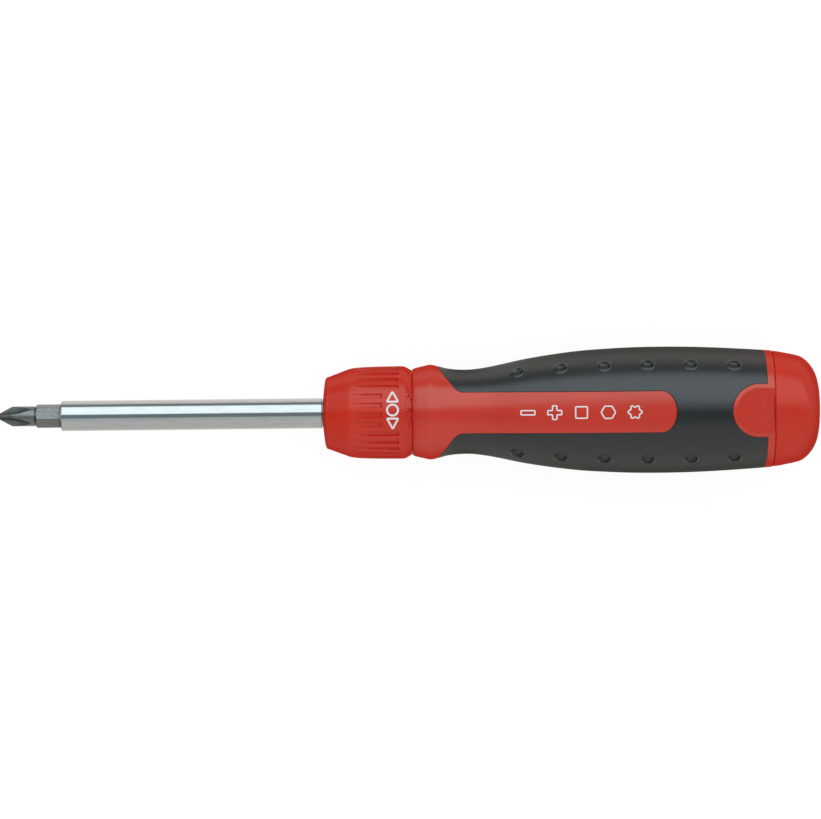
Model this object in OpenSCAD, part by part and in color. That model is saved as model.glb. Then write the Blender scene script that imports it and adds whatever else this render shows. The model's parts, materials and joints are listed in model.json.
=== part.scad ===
// Ratcheting screwdriver with a three-position selector collar, a pull-out store of
// double-ended bits and a spinning palm cap. Millimetres. The tool's axis lies along X:
// the origin is the centre of the shaft's nose, the bit points to -X and the cap to +X.
// The panel with the selector marks faces +Z.

/* [Bits] */
// Width across the flats of every bit
bit_flats = 6.35; // [6.1:0.05:6.5]
// Overall length of a double-ended bit
bit_length = 45; // [43:0.5:47]
// Length of the hexagonal middle of a bit
bit_hex_length = 23; // [22:0.5:26]
// Length of the hexagon that shows in front of the shaft
bit_hex_showing = 7.8; // [6:0.2:9]
// Diameter of the round neck behind a cross tip
neck_d = 6; // [5.6:0.1:6.1]
// Turn of the working bit about its axis, in degrees
bit_turn = 15.5; // [-30:0.1:30]

/* [Shaft] */
// Outside diameter of the shaft
shaft_d = 9.2; // [9.1:0.05:9.6]
// Length of the shaft from its nose to the collar
shaft_reach = 79.4; // [70:0.1:100]
// Chamfer at the nose of the shaft
nose_chamfer = 0.5; // [0.2:0.1:0.8]
// Diameter of the journal that turns in the handle
journal_d = 7; // [6.6:0.1:7.4]

/* [Selector collar] */
// Largest diameter of the collar
collar_d = 28; // [27.6:0.1:28.6]
// Length of the collar
collar_length = 26.85; // [25:0.05:32]
// Wall of the collar beside its grooves
collar_wall = 2.1; // [1.9:0.05:2.2]
// Number of finger grooves round the collar
groove_count = 30; // [20:2:36]
// Width of a finger groove
groove_w = 1.4; // [1:0.1:1.7]
// Depth of a finger groove
groove_depth = 0.55; // [0.3:0.05:0.8]
// Turn of the collar from locked to either direction, in degrees
selector_turn = 17; // [14:1:20]
// Turn of the collar's grooves and marks from the middle of the panel, in degrees
mark_turn = -4.9; // [-6:0.1:6]

/* [Ratchet] */
// Number of ratchet teeth
tooth_count = 24; // [20:2:28]
// Diameter over the ratchet teeth
gear_d = 16; // [15.6:0.1:16.2]
// Depth of a ratchet tooth
tooth_depth = 1.05; // [1:0.02:1.15]
// Distance that a pawl moves from locked to either end
pawl_lift = 0.5; // [0.46:0.01:0.54]
// Width of a pawl across the tool
pawl_w = 4.8; // [4.4:0.1:5.2]
// Length of the housing's stem inside the handle
stem_length = 17.6; // [14:0.2:19]

/* [Handle] */
// Length of the handle from the collar's seam to the cap's seam
handle_length = 108.3; // [106:0.5:120]
// Largest diameter of the handle
belly_d = 38.25; // [37.6:0.1:40]
// Thickness of the soft grip
grip_wall = 2; // [1.6:0.1:2.2]
// Width of the long panel in the grip
panel_w = 12.4; // [10:0.2:14]
// Length of the bare ring in front of the grip
front_ring = 7.5; // [6.5:0.1:9]
// Length of the bare ring behind the grip
rear_ring = 1.75; // [1.5:0.05:2.5]
// Length of the grip between the panel and the thumb tab
bridge_length = 16.75; // [12:0.25:20]
// Width of the thumb tab at the rear
tab_w = 16; // [14:0.2:17]
// Length of the thumb tab in front of the grip's rear edge
tab_length = 10.6; // [9:0.2:12]
// Width of the flat in the thumb tab
thumb_flat_w = 13; // [11:0.2:13.4]
// Diameter over the lip of a grip dimple
dimple_d = 4.2; // [3.6:0.1:4.6]
// Number of dimples in a row
dimple_count = 6; // [4:1:7]
// Distance from the handle's front to the first dimple
dimple_first = 31.6; // [30:0.1:34]
// Distance from the last dimple to the grip's rear edge
dimple_last = 9.8; // [8:0.1:12]

/* [Palm cap] */
// Length of the cap along the tool
cap_length = 14.7; // [14:0.1:17]
// Wall of the cap
cap_wall = 2.4; // [2:0.1:2.8]

/* [Bit store] */
// Number of stored bits
store_count = 6; // [6:1:6]
// Radius of the circle on which the stored bits lie
store_r = 9; // [8.8:0.05:9.1]
// Bore of the handle that takes the store
bay_d = 26.8; // [26.6:0.1:27.2]

/* [Hidden] */
$fn = 64;

// Overrun of every cutting solid past the face that it cuts
over = 1;
// Clearances: pieces that slide or turn, pieces that are fixed together, and seams in view
run_gap = 0.1;
journal_gap = 0.04;
fix_gap = 0.03;
slip_gap = 0.15;
seam_gap = 0.15;
cap_seam = 0.35;

// Stations along the axis
collar_front = shaft_reach;
collar_rear = collar_front + collar_length;
handle_front = collar_rear + seam_gap;
handle_rear = handle_front + handle_length;
cap_front = handle_rear + cap_seam;
cap_rear = cap_front + cap_length;

// Radii of the ratchet, from the collar inwards
collar_r = collar_d / 2;
collar_bore_r = collar_r - collar_wall;
sleeve_r = collar_bore_r - run_gap;
sleeve_wall = 0.4;
housing_r = sleeve_r - sleeve_wall - fix_gap;
gear_r = gear_d / 2;
gear_root_r = gear_r - tooth_depth;

// Lengths of the ratchet's layers, from the collar's inner face rearwards
collar_web = 3.7;
// The bore narrows behind the web, so the wall stays even under the collar's slanting front
shoulder_length = 3;
shoulder_step = 1.5;
shoulder_rear = collar_front + collar_web + shoulder_length;
layer_gap = 0.2;
cam_w = 5.1;
housing_lip = 1.1;
housing_front = collar_front + collar_web + 1.3 * layer_gap + housing_lip;
chamber_front = housing_front + housing_lip;
cam_front = collar_front + collar_web + layer_gap;
cam_rear = cam_front + cam_w;
gear_front = cam_rear + 2 * layer_gap;
stem_rear = handle_front + stem_length;

// The layers behind the wheel, from the collar's rear forwards; the wheel fills what is left
leaf_length = 5.6;
leaf_margin = 1.37;
ring_wire = 0.9;
flange_w = 0.8;
leaf_front = collar_rear - leaf_margin - leaf_length;
ring_x = leaf_front - 2 * ring_wire;
chamber_rear = ring_x - ring_wire - run_gap;
gear_rear = chamber_rear - layer_gap - flange_w - fix_gap;

// Eccentric cam: its throw lifts the pawls by pawl_lift over selector_turn
cam_throw = pawl_lift / sin(selector_turn);
cam_r = gear_r - run_gap;
cam_chamber_r = cam_r + cam_throw + 2 * run_gap;
cam_bore_r = shaft_d / 2 + 2 * slip_gap;
cam_lug_h = 1.4;
cam_lug_w = 2.2;
cam_lug_t = 1.35;
cam_lug_inset = 0.35;

// Pawls
pawl_root_gap = 0.17;
pawl_flank_gap = 0.07;
pawl_tip_r = gear_root_r + pawl_root_gap + pawl_lift;
pawl_sole_r = gear_r + pawl_lift + slip_gap;
pawl_heel_r = cam_r + run_gap / 2;
pawl_crown_gap = 0.4;
pawl_top_r = housing_r - pawl_lift - pawl_crown_gap;
pawl_front = chamber_front + run_gap;
pawl_rear = gear_rear;
heel_rear = cam_rear - run_gap;
nose_flat = 0.25;
flank_angle = 10;
gap_root_w = 1.05;
pawl_spring_wire = 0.32;
pawl_spring_r = 1.02;
pawl_spring_turns = 3.5;
pawl_spring_bore_r = pawl_spring_r + pawl_spring_wire / 2 + slip_gap;
pawl_floor = 0.55;
pawl_spring_seat_r = pawl_sole_r + pawl_floor;
pawl_spring_x = (gear_front + pawl_rear) / 2;

// Shaft behind the nose
seat_step = 0.6;
seat_r = journal_d / 2 + seat_step;
seat_flat = journal_d / 2 + run_gap;
relief = 0.2;
socket_gap = 0.06;
clip_wire = 0.35;
clip_w = 0.8;
clip_x = 3.5;
circlip_w = 1;
washer_w = 0.8;
shaft_tail = 1.3;
circlip_front = stem_rear + washer_w + 3 * run_gap;
shaft_rear = circlip_front + circlip_w + shaft_tail;
circlip_depth = 0.55;
circlip_rise = 1.3;
circlip_root_r = journal_d / 2 - circlip_depth;
circlip_r = journal_d / 2 + circlip_rise;
bit_tip_length = (bit_length - bit_hex_length) / 2;
hex_seat = bit_hex_length - bit_hex_showing;
bit_hex_r = bit_flats / 2 / cos(30);

// Bushing, collar ring and detent
bushing_wall = 1.9;
bushing_length = 12;
flange_rise = 3.6;
flange_r = journal_d / 2 + flange_rise;
washer_rise = 2.4;
ring_split = 50;
leaf_w = 1.6;
leaf_t = 0.3;
leaf_rise = 0.35;
leaf_pocket = 1.2;
notch_r = 2.2;

// Handle
belly_r = belly_d / 2;
stem_r = 8.3;
key_h = 0.9;
key_w = 1.6;
key_count = 4;
grip_front = handle_front + front_ring;
grip_rear = handle_rear - rear_ring;
panel_rear = grip_rear - tab_length - bridge_length;
funnel_angle = 52;
funnel_fillet = 4.1;
panel_end_share = 0.73;
dimple_pitch = (grip_rear - dimple_last - handle_front - dimple_first) / (dimple_count - 1);
dimple_angle = 47.8;
dimple_turn = 1.2;
dimple_lip = 0.25;
dimple_depth = 0.6;
dimple_rim = 0.5;
// Turn of a dimple further round the grip for each millimetre that the grip is slimmer
dimple_spread = 1.3;
tail_bore_r = 5.5;
tail_bore_length = 3.5;
bulkhead = 6;
core_bore_r = 9;
mouth_step = 1.6;
bay_r = bay_d / 2;
rear_bore_r = bay_r + mouth_step;
bay_key_w = 1.6;
bay_key_h = 1;

// Bit store and cap
store_slack = 0.65;
store_body_r = bay_r - store_slack;
store_disc_r = bay_r - slip_gap;
store_disc = 2.4;
store_end_gap = 0.2;
stop_ring_w = 3.1;
stop_ring_r = store_body_r + 2 * run_gap;
store_rear = handle_rear + cap_seam - run_gap;
store_back = 0.5;
store_bits_rear = store_rear - store_back;
store_bits_front = store_bits_rear - bit_length;
store_front = store_bits_front - store_end_gap - store_disc;
store_mouth = 4.4;
store_window = 19;
store_window_w = 7.7;
store_core_bore_r = 2.4;
store_flange = 2.3;
rear_share = 0.9255;
store_flange_r = rear_share * belly_r - cap_wall - 2 * slip_gap;
pivot_r = 4.4;
pivot_length = 8;
pivot_ring_w = 0.9;
pivot_ring_depth = 0.5;
cap_washer_w = 0.7;
cap_washer_r = 8;
hub_wall = 2.2;
hub_front = cap_front + store_flange + cap_washer_w + 3 * run_gap;
cap_web_share = 0.74;
rib_w = 1.4;
rib_count = 6;

// Outline of the handle: share of its length, share of its largest radius
handle_shares = [
    [0, 0.685], [0.012, 0.706], [0.03, 0.7295], [0.05, 0.7515], [0.072, 0.727], [0.098, 0.69],
    [0.13, 0.67], [0.165, 0.67], [0.205, 0.699], [0.25, 0.749], [0.3, 0.8105], [0.355, 0.865],
    [0.41, 0.91], [0.47, 0.949], [0.54, 0.976], [0.61, 0.994], [0.69, 1], [0.77, 0.995],
    [0.85, 0.978], [0.925, 0.954], [1, rear_share]
];
// Outline of the cap: share of its length, share of the radius where it meets the handle
cap_shares = [
    [0, 0.989], [0.09, 0.982], [0.27, 0.955], [0.46, 0.924], [0.6, 0.888], [0.69, 0.84],
    [0.77, 0.776], [0.85, 0.69], [0.915, 0.58], [0.96, 0.44], [0.988, 0.23], [1, 0]
];
// Outline of the collar: share of its length, share of its largest radius
collar_shares = [
    [0, 0.36], [0.006, 0.46], [0.015, 0.61], [0.028, 0.73], [0.04, 0.768], [0.066, 0.787],
    [0.147, 0.845], [0.235, 0.909], [0.301, 0.953], [0.335, 0.966], [0.404, 0.981],
    [0.539, 0.993], [0.673, 0.9985], [0.786, 1], [0.894, 1], [0.918, 0.995], [0.946, 0.97],
    [0.98, 0.93], [1, 0.915]
];

// Points of a smooth curve through the given points
function slope(p, i) = i == 0 ? p[1] - p[0] : i == len(p) - 1 ? p[i] - p[i - 1] : (p[i + 1] - p[i - 1]) / 2;
function blend(p, i, u) =
    let (a = u * u * (3 - 2 * u), b = u * (1 - u) * (1 - u), c = u * u * (u - 1))
    p[i] * (1 - a) + p[i + 1] * a + slope(p, i) * b + slope(p, i + 1) * c;
function smooth(p, steps) = concat(
    [for (i = [0 : len(p) - 2]) for (k = [0 : steps - 1]) blend(p, i, k / steps)],
    [p[len(p) - 1]]
);

// Height of an outline at x, and the piece of it between two stations
function height_at(path, x) =
    let (i = max([0, for (k = [0 : len(path) - 2]) if (path[k][0] <= x) k]))
    path[i][1] + (path[i + 1][1] - path[i][1]) * (x - path[i][0]) / (path[i + 1][0] - path[i][0]);
function clipped(path, x0, x1) = concat(
    [[x0, height_at(path, x0)]],
    [for (p = path) if (p[0] > x0 + fix_gap && p[0] < x1 - fix_gap) p],
    [[x1, height_at(path, x1)]]
);
function inset(path, d) = [for (p = path) [p[0], p[1] - d]];
function reversed(path) = [for (i = [len(path) - 1 : -1 : 0]) path[i]];

handle_outline = [
    for (p = smooth(handle_shares, 2)) [handle_front + p[0] * handle_length, p[1] * belly_r]
];
rear_r = handle_outline[len(handle_outline) - 1][1];
cap_outline = [for (p = smooth(cap_shares, 3)) [cap_front + p[0] * cap_length, p[1] * rear_r]];
collar_outline = [
    for (p = smooth(collar_shares, 2)) [collar_front + p[0] * collar_length, p[1] * collar_r]
];

// Solid of revolution about the tool's axis, from [x, r] points
module turned(points) {
    rotate([0, 90, 0])
        rotate_extrude()
            polygon([for (p = points) [p[1], p[0]]]);
}

// Round rod and tube along the axis
module rod(x0, x1, r) {
    translate([x0, 0, 0])
        rotate([0, 90, 0])
            cylinder(h = x1 - x0, r = r);
}
module tube(x0, x1, r_out, r_in) {
    difference() {
        rod(x0, x1, r_out);
        rod(x0 - over, x1 + over, r_in);
    }
}

// Prism along the axis whose cross-section is drawn in Y and Z
module section(x0, x1) {
    translate([x0, 0, 0])
        rotate([90, 0, 90])
            linear_extrude(x1 - x0)
                children();
}

// Ring along the axis with a gap, as a circlip or a wire ring has
module split_ring(x0, x1, r_out, r_in, gap_angle) {
    difference() {
        tube(x0, x1, r_out, r_in);
        section(x0 - over, x1 + over)
            polygon([
                [0, 0],
                [2 * r_out, -2 * r_out * tan(gap_angle / 2)],
                [2 * r_out, 2 * r_out * tan(gap_angle / 2)]
            ]);
    }
}

// Hexagon with flats facing up and down
module hexagon(flats) {
    circle(r = flats / 2 / cos(30), $fn = 6);
}

// Coil spring standing along Z
function coil_ring(a, rise, mean_r, wire) = [
    for (b = [0 : 60 : 300])
        let (r = mean_r + wire / 2 * cos(b))
        [r * cos(a), r * sin(a), rise + wire / 2 * sin(b)]
];
module coil(turns, mean_r, wire, length) {
    rings = turns * 8;
    sides = 6;
    points = [
        for (i = [0 : rings])
            each coil_ring(45 * i, wire / 2 + (length - wire) * i / rings, mean_r, wire)
    ];
    walls = [
        for (i = [0 : rings - 1])
            for (s = [0 : sides - 1])
                let (a = i * sides + s, b = i * sides + (s + 1) % sides)
                each [[a, b, b + sides], [a, b + sides, a + sides]]
    ];
    polyhedron(
        points,
        concat(
            walls,
            [[for (s = [sides - 1 : -1 : 0]) s]],
            [[for (s = [0 : sides - 1]) rings * sides + s]]
        )
    );
}

// Tips of the bits. Each starts at X = 0 and points to -X.
cross_point_share = 0.4;
cross_cone_share = 0.36;
flute_floor_share = 0.2;
flute_rise = 14;
module tip_blank(r, point_r, cone) {
    turned([
        [over, 0], [over, r], [-bit_tip_length + cone, r], [-bit_tip_length, point_r], [-bit_tip_length, 0]
    ]);
}
module cross_tip(r) {
    cone = cross_cone_share * bit_tip_length;
    difference() {
        tip_blank(r, cross_point_share * r, cone);
        for (a = [45 : 90 : 315])
            rotate([a, 0, 0])
                translate([-bit_tip_length, 0, flute_floor_share * r])
                    rotate([0, -flute_rise, 0])
                        translate([-over, 0, 0])
                            rotate([45, 0, 0])
                                cube([bit_tip_length + 3 * over, 2 * r, 2 * r]);
    }
}
module slotted_tip(w, t) {
    intersection() {
        tip_blank(neck_d / 2, neck_d / 2 - over / 2, over);
        translate([0, w / 2, 0])
            rotate([90, 0, 0])
                linear_extrude(w)
                    polygon([
                        [over, neck_d], [over, -neck_d], [-0.25 * bit_tip_length, -neck_d / 2],
                        [-0.75 * bit_tip_length, -t / 2], [-bit_tip_length, -t / 2],
                        [-bit_tip_length, t / 2], [-0.75 * bit_tip_length, t / 2],
                        [-0.25 * bit_tip_length, neck_d / 2]
                    ]);
    }
}
module stepped_neck(r) {
    turned([
        [over, 0], [over, neck_d / 2], [-0.2 * bit_tip_length, neck_d / 2],
        [-0.34 * bit_tip_length, r], [-0.45 * bit_tip_length, r], [-0.45 * bit_tip_length, 0]
    ]);
}
module prism_tip(flats, sides) {
    stepped_neck(neck_d / 2 * 0.8);
    section(-bit_tip_length, -0.4 * bit_tip_length)
        circle(r = flats / 2 / cos(180 / sides), $fn = sides);
}
module star_tip(d) {
    lobe = 0.07 * d;
    stepped_neck(neck_d / 2 * 0.8);
    section(-bit_tip_length, -0.4 * bit_tip_length)
        polygon([
            for (a = [0 : 12 : 348])
                (d / 2 - lobe + lobe * cos(6 * a)) * [cos(a), sin(a)]
        ]);
}
module driver_tip(kind, size) {
    if (kind == "cross")
        cross_tip(size / 2);
    else if (kind == "slot")
        slotted_tip(0.9 * neck_d, size);
    else if (kind == "square")
        prism_tip(size, 4);
    else if (kind == "hex")
        prism_tip(size, 6);
    else
        star_tip(size);
}

// Double-ended bit with its hexagon from X = 0 to bit_hex_length
hex_chamfer = 0.8;
module double_bit(front_kind, front_size, rear_kind, rear_size, hex_turn) {
    intersection() {
        section(0, bit_hex_length)
            rotate(hex_turn)
                hexagon(bit_flats);
        turned([
            [0, 0], [0, bit_hex_r - hex_chamfer * 0.7], [hex_chamfer, bit_hex_r + fix_gap],
            [bit_hex_length - hex_chamfer, bit_hex_r + fix_gap],
            [bit_hex_length, bit_hex_r - hex_chamfer * 0.7], [bit_hex_length, 0]
        ]);
    }
    driver_tip(front_kind, front_size);
    translate([bit_hex_length, 0, 0])
        mirror([1, 0, 0])
            driver_tip(rear_kind, rear_size);
}

slot_t = 0.9;
cross_turn = -21.4;
module working_bit() {
    color("dimgray")
        translate([-bit_hex_showing, 0, 0])
            rotate([bit_turn + cross_turn, 0, 0])
                double_bit("cross", neck_d, "slot", slot_t, 90 - cross_turn);
}

// Shaft: hexagonal socket at the nose, flats for the ratchet wheel, journal and circlip groove
module shaft() {
    color("silver")
        difference() {
            union() {
                turned([
                    [0, 0], [0, shaft_d / 2 - nose_chamfer], [nose_chamfer, shaft_d / 2],
                    [shaft_reach - nose_chamfer, shaft_d / 2],
                    [shaft_reach - nose_chamfer, shaft_d / 2 - relief],
                    [gear_front - run_gap, shaft_d / 2 - relief], [gear_front - run_gap, 0]
                ]);
                intersection() {
                    rod(gear_front - over, gear_rear, seat_r);
                    section(gear_front - over, gear_rear)
                        square([3 * seat_r, 2 * seat_flat], center = true);
                }
                turned([
                    [gear_rear - over, 0], [gear_rear - over, journal_d / 2],
                    [shaft_rear - nose_chamfer, journal_d / 2],
                    [shaft_rear, journal_d / 2 - nose_chamfer], [shaft_rear, 0]
                ]);
            }
            section(-over, hex_seat + slip_gap)
                rotate(bit_turn + 90)
                    hexagon(bit_flats + 2 * socket_gap);
            rod(0, hex_seat + bit_tip_length + slip_gap + over / 2, neck_d / 2 + slip_gap);
            rod(clip_x - clip_w / 2 - socket_gap, clip_x + clip_w / 2 + socket_gap, clip_outer_r + fix_gap);
            tube(circlip_front - fix_gap, circlip_front + circlip_w + fix_gap, journal_d, circlip_root_r);
        }
}

// Split ring in the socket that grips the bit
clip_inner_r = bit_hex_r + fix_gap;
clip_outer_r = clip_inner_r + clip_wire;
module bit_clip_ring() {
    color("lightsteelblue")
        split_ring(clip_x - clip_w / 2, clip_x + clip_w / 2, clip_outer_r, clip_inner_r, 40);
}

// Ratchet wheel: straight-flanked gaps that a sprung pawl drops into
function gap_half_w(r) = gap_root_w / 2 + (r - gear_root_r) * tan(flank_angle);
function turned_point(p, a) = [p[0] * cos(a) - p[1] * sin(a), p[0] * sin(a) + p[1] * cos(a)];
module ratchet_wheel() {
    pitch = 360 / tooth_count;
    tip_half = gap_half_w(gear_r);
    tooth_mid = 180 / tooth_count;
    color("slategray")
        difference() {
            section(gear_front, gear_rear)
                polygon([
                    for (i = [0 : tooth_count - 1])
                        for (p = [
                            [tip_half, sqrt(gear_r * gear_r - tip_half * tip_half)],
                            [gap_root_w / 2, gear_root_r], [-gap_root_w / 2, gear_root_r],
                            [-tip_half, sqrt(gear_r * gear_r - tip_half * tip_half)],
                            [-gear_r * sin(tooth_mid), gear_r * cos(tooth_mid)]
                        ])
                            turned_point(p, i * pitch)
                ]);
            intersection() {
                rod(gear_front - over, gear_rear + over, seat_r + fix_gap);
                section(gear_front - over, gear_rear + over)
                    square([3 * seat_r, 2 * (seat_flat + fix_gap)], center = true);
            }
        }
}

module thrust_washer() {
    color("gainsboro")
        tube(stem_rear + run_gap, stem_rear + run_gap + washer_w, journal_d / 2 + washer_rise,
            journal_d / 2 + journal_gap);
}

module shaft_circlip() {
    color("dimgray")
        split_ring(circlip_front, circlip_front + circlip_w, circlip_r, circlip_root_r + fix_gap, 60);
}

// Selector collar: fluted sleeve whose grooves run out on the nose cone
short_groove_end = 0.663;
long_groove_end = 0.848;
mark_spread = 19.5;
mark_front_share = 0.922;
field_angle = 14.9;
field_depth = 0.15;
notch_w = 1.7;
notch_length = 0.45;
module finger_grooves() {
    pitch = 360 / groove_count;
    for (i = [0 : groove_count - 1]) {
        a = (i + 0.5) * pitch;
        off_mark = min(a, 360 - a);
        groove_end = off_mark < 2 * pitch ? short_groove_end : long_groove_end;
        rotate([a, 0, 0])
            translate([collar_front, -groove_w / 2, collar_r - groove_depth])
                cube([groove_end * collar_length, groove_w, over + groove_depth]);
    }
}
// Two sunk fields between the three raised index marks on the rear bevel
module index_fields() {
    for (side = [-1, 1])
        rotate([side * mark_spread / 2 - field_angle / 2, 0, 0])
            rotate([0, 90, 0])
                translate([0, 0, collar_front + mark_front_share * collar_length])
                    rotate([0, 0, 180])
                        rotate_extrude(angle = field_angle)
                            polygon([
                                [0.994 * collar_r - field_depth, 0],
                                [collar_r + over, 0],
                                [collar_r + over, over + collar_length],
                                [0.915 * collar_r - field_depth, (1 - mark_front_share) * collar_length],
                            ]);
    for (a = [-12, 0, 12])
        rotate([a, 0, 0])
            translate([collar_rear - notch_length, -notch_w / 2, collar_bore_r + collar_wall / 4])
                cube([notch_length + over, notch_w, collar_r]);
}
// Three ribs that carry the sleeve's full height over the rear bevel, one for each position
index_rib_w = 1.1;
index_rib_length = 2.2;
index_rib_back = 0.8;
index_rib_root = 1.3;
index_rib_step = 0.1;
module index_ribs() {
    for (a = [-mark_spread, 0, mark_spread])
        rotate([mark_turn + a, 0, 0])
            translate([
                collar_rear - index_rib_back - index_rib_length, -index_rib_w / 2, collar_r - index_rib_root
            ])
                cube([index_rib_length, index_rib_w, index_rib_root - index_rib_step]);
}
module selector_collar() {
    color("firebrick")
        union() {
            difference() {
                turned(concat(
                    [[collar_front, shaft_d / 2 + slip_gap]], collar_outline, [[collar_rear, collar_bore_r]],
                    [[shoulder_rear, collar_bore_r]],
                    [[collar_front + collar_web, collar_bore_r - shoulder_step]],
                    [[collar_front + collar_web, shaft_d / 2 + slip_gap]]
                ));
                rotate([mark_turn, 0, 0]) {
                    finger_grooves();
                    index_fields();
                }
                cam_lugs(fix_gap);
                tube(ring_x - ring_wire / 2 - run_gap, ring_x + ring_wire / 2 + run_gap,
                    collar_bore_r + ring_wire / 2 + run_gap, collar_bore_r - over);
                for (a = [-selector_turn, 0, selector_turn])
                    rotate([a, 0, 0])
                        translate([0, -collar_bore_r + notch_r - leaf_rise - run_gap, 0])
                            rod(leaf_front - run_gap, leaf_front + leaf_length + run_gap, notch_r);
            }
            index_ribs();
        }
}

// Cam ring: an eccentric rim that moves both pawls, keyed into the collar by lugs
module cam_lugs(gap) {
    for (a = [30 : 120 : 270])
        rotate([a, 0, 0])
            translate([cam_front - cam_lug_h - gap, -cam_lug_w / 2 - gap, cam_bore_r + cam_lug_inset - gap])
                cube([cam_lug_h + over + gap, cam_lug_w + 2 * gap, cam_lug_t + 2 * gap]);
}
module cam_ring() {
    color("darkgray")
        difference() {
            union() {
                translate([0, cam_throw, 0])
                    rod(cam_front, cam_rear, cam_r);
                cam_lugs(0);
            }
            rod(cam_front - 3 * over, cam_rear + over, cam_bore_r);
        }
}

module collar_snap_ring() {
    color("dimgray")
        split_ring(ring_x - ring_wire / 2, ring_x + ring_wire / 2, collar_bore_r + ring_wire / 2,
            sleeve_r - ring_wire / 2, ring_split);
}

// Pawl above the wheel: its nose has one steep side and one bevel, so it locks one way
module pawl_body() {
    tip_left = -gap_half_w(gear_r) + (gear_r - pawl_tip_r + pawl_lift) * tan(flank_angle) + pawl_flank_gap;
    sole_rise = pawl_sole_r - pawl_tip_r;
    bevel = gear_r - pawl_tip_r + pawl_lift;
    difference() {
        union() {
            section(pawl_front, pawl_rear)
                polygon([
                    [-pawl_w / 2, pawl_sole_r], [pawl_w / 2, pawl_sole_r],
                    [pawl_w / 2, pawl_top_r], [-pawl_w / 2, pawl_top_r]
                ]);
            section(pawl_front, heel_rear)
                polygon([
                    [-pawl_w / 2, pawl_heel_r], [pawl_w / 2, pawl_heel_r],
                    [pawl_w / 2, pawl_top_r], [-pawl_w / 2, pawl_top_r]
                ]);
            section(gear_front + run_gap, pawl_rear)
                polygon([
                    [tip_left, pawl_tip_r], [tip_left + nose_flat, pawl_tip_r],
                    [tip_left + nose_flat + bevel, pawl_tip_r + bevel],
                    [tip_left + nose_flat + bevel, pawl_sole_r + over / 2],
                    [tip_left - sole_rise * tan(flank_angle), pawl_sole_r + over / 2],
                    [tip_left - sole_rise * tan(flank_angle), pawl_sole_r]
                ]);
        }
        translate([pawl_spring_x, 0, pawl_spring_seat_r])
            cylinder(h = pawl_top_r, r = pawl_spring_bore_r);
    }
}
module forward_pawl() {
    color("lightslategray")
        pawl_body();
}
module reverse_pawl() {
    color("lightslategray")
        mirror([0, 0, 1])
            pawl_body();
}
module pawl_spring() {
    translate([pawl_spring_x, 0, pawl_spring_seat_r + fix_gap])
        coil(pawl_spring_turns, pawl_spring_r, pawl_spring_wire,
            housing_r - pawl_spring_seat_r - 3 * fix_gap);
}
module forward_pawl_spring() {
    color("goldenrod")
        pawl_spring();
}
module reverse_pawl_spring() {
    color("goldenrod")
        mirror([0, 0, 1])
            pawl_spring();
}

// Bowed leaf that clicks into the collar's three notches
function leaf_line(x) = leaf_rise * pow(sin(180 * x), 2);
module detent_leaf() {
    steps = 10;
    base = collar_bore_r - leaf_t / 2;
    line = [for (i = [0 : steps]) [i / steps * leaf_length, base + leaf_line(i / steps)]];
    color("goldenrod")
        translate([leaf_front, 0, -leaf_w / 2])
            linear_extrude(leaf_w)
                polygon(concat(
                    [for (p = line) [p[0], -p[1]]],
                    [for (p = reversed(line)) [p[0], -p[1] + leaf_t]]
                ));
}

// Ratchet housing: carries the pawls and the shaft's bearing, keyed into the handle by its stem
housing_bevel = 0.6;
module ratchet_housing() {
    color("gray")
        difference() {
            union() {
                turned([
                    [housing_front, 0], [housing_front, housing_r - housing_bevel],
                    [chamber_front, housing_r], [chamber_rear, housing_r],
                    [chamber_rear, sleeve_r], [handle_front, sleeve_r], [handle_front, stem_r],
                    [stem_rear, stem_r], [stem_rear, 0]
                ]);
                for (i = [0 : key_count - 1])
                    rotate([i * 360 / key_count, 0, 0])
                        translate([handle_front - over, -key_w / 2, 0])
                            cube([stem_length, key_w, stem_r + key_h]);
            }
            rod(housing_front - over, gear_front - layer_gap, cam_chamber_r);
            rod(gear_front - over, chamber_rear, gear_r + 2 * run_gap);
            rod(chamber_rear - over, chamber_rear + bushing_length + fix_gap, bushing_r + fix_gap);
            rod(chamber_rear, stem_rear + over, journal_d / 2 + run_gap);
            for (side = [0, 180])
                rotate([side, 0, 0])
                    translate([pawl_front - run_gap, -pawl_w / 2 - fix_gap, 0])
                        cube([pawl_rear - pawl_front + 2 * run_gap, pawl_w + 2 * fix_gap, collar_r]);
            tube(ring_x - ring_wire / 2 - fix_gap, ring_x + ring_wire / 2 + fix_gap, collar_r,
                sleeve_r - ring_wire / 2 - fix_gap);
            translate([leaf_front - fix_gap, -collar_r, -leaf_w / 2 - fix_gap])
                cube([leaf_length + 2 * fix_gap, collar_r - sleeve_r + leaf_pocket, leaf_w + 2 * fix_gap]);
        }
}

module housing_sleeve() {
    color("silver")
        tube(shoulder_rear + run_gap, chamber_rear - fix_gap, sleeve_r, housing_r + fix_gap / 2);
}

// Flanged bearing bush of the shaft
bushing_r = journal_d / 2 + bushing_wall;
module shaft_bushing() {
    color("peru")
        difference() {
            union() {
                rod(chamber_rear - fix_gap, chamber_rear + bushing_length - fix_gap, bushing_r);
                rod(chamber_rear - fix_gap - flange_w, chamber_rear - fix_gap, flange_r);
            }
            rod(gear_rear, chamber_rear + bushing_length + over, journal_d / 2 + journal_gap);
        }
}

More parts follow.
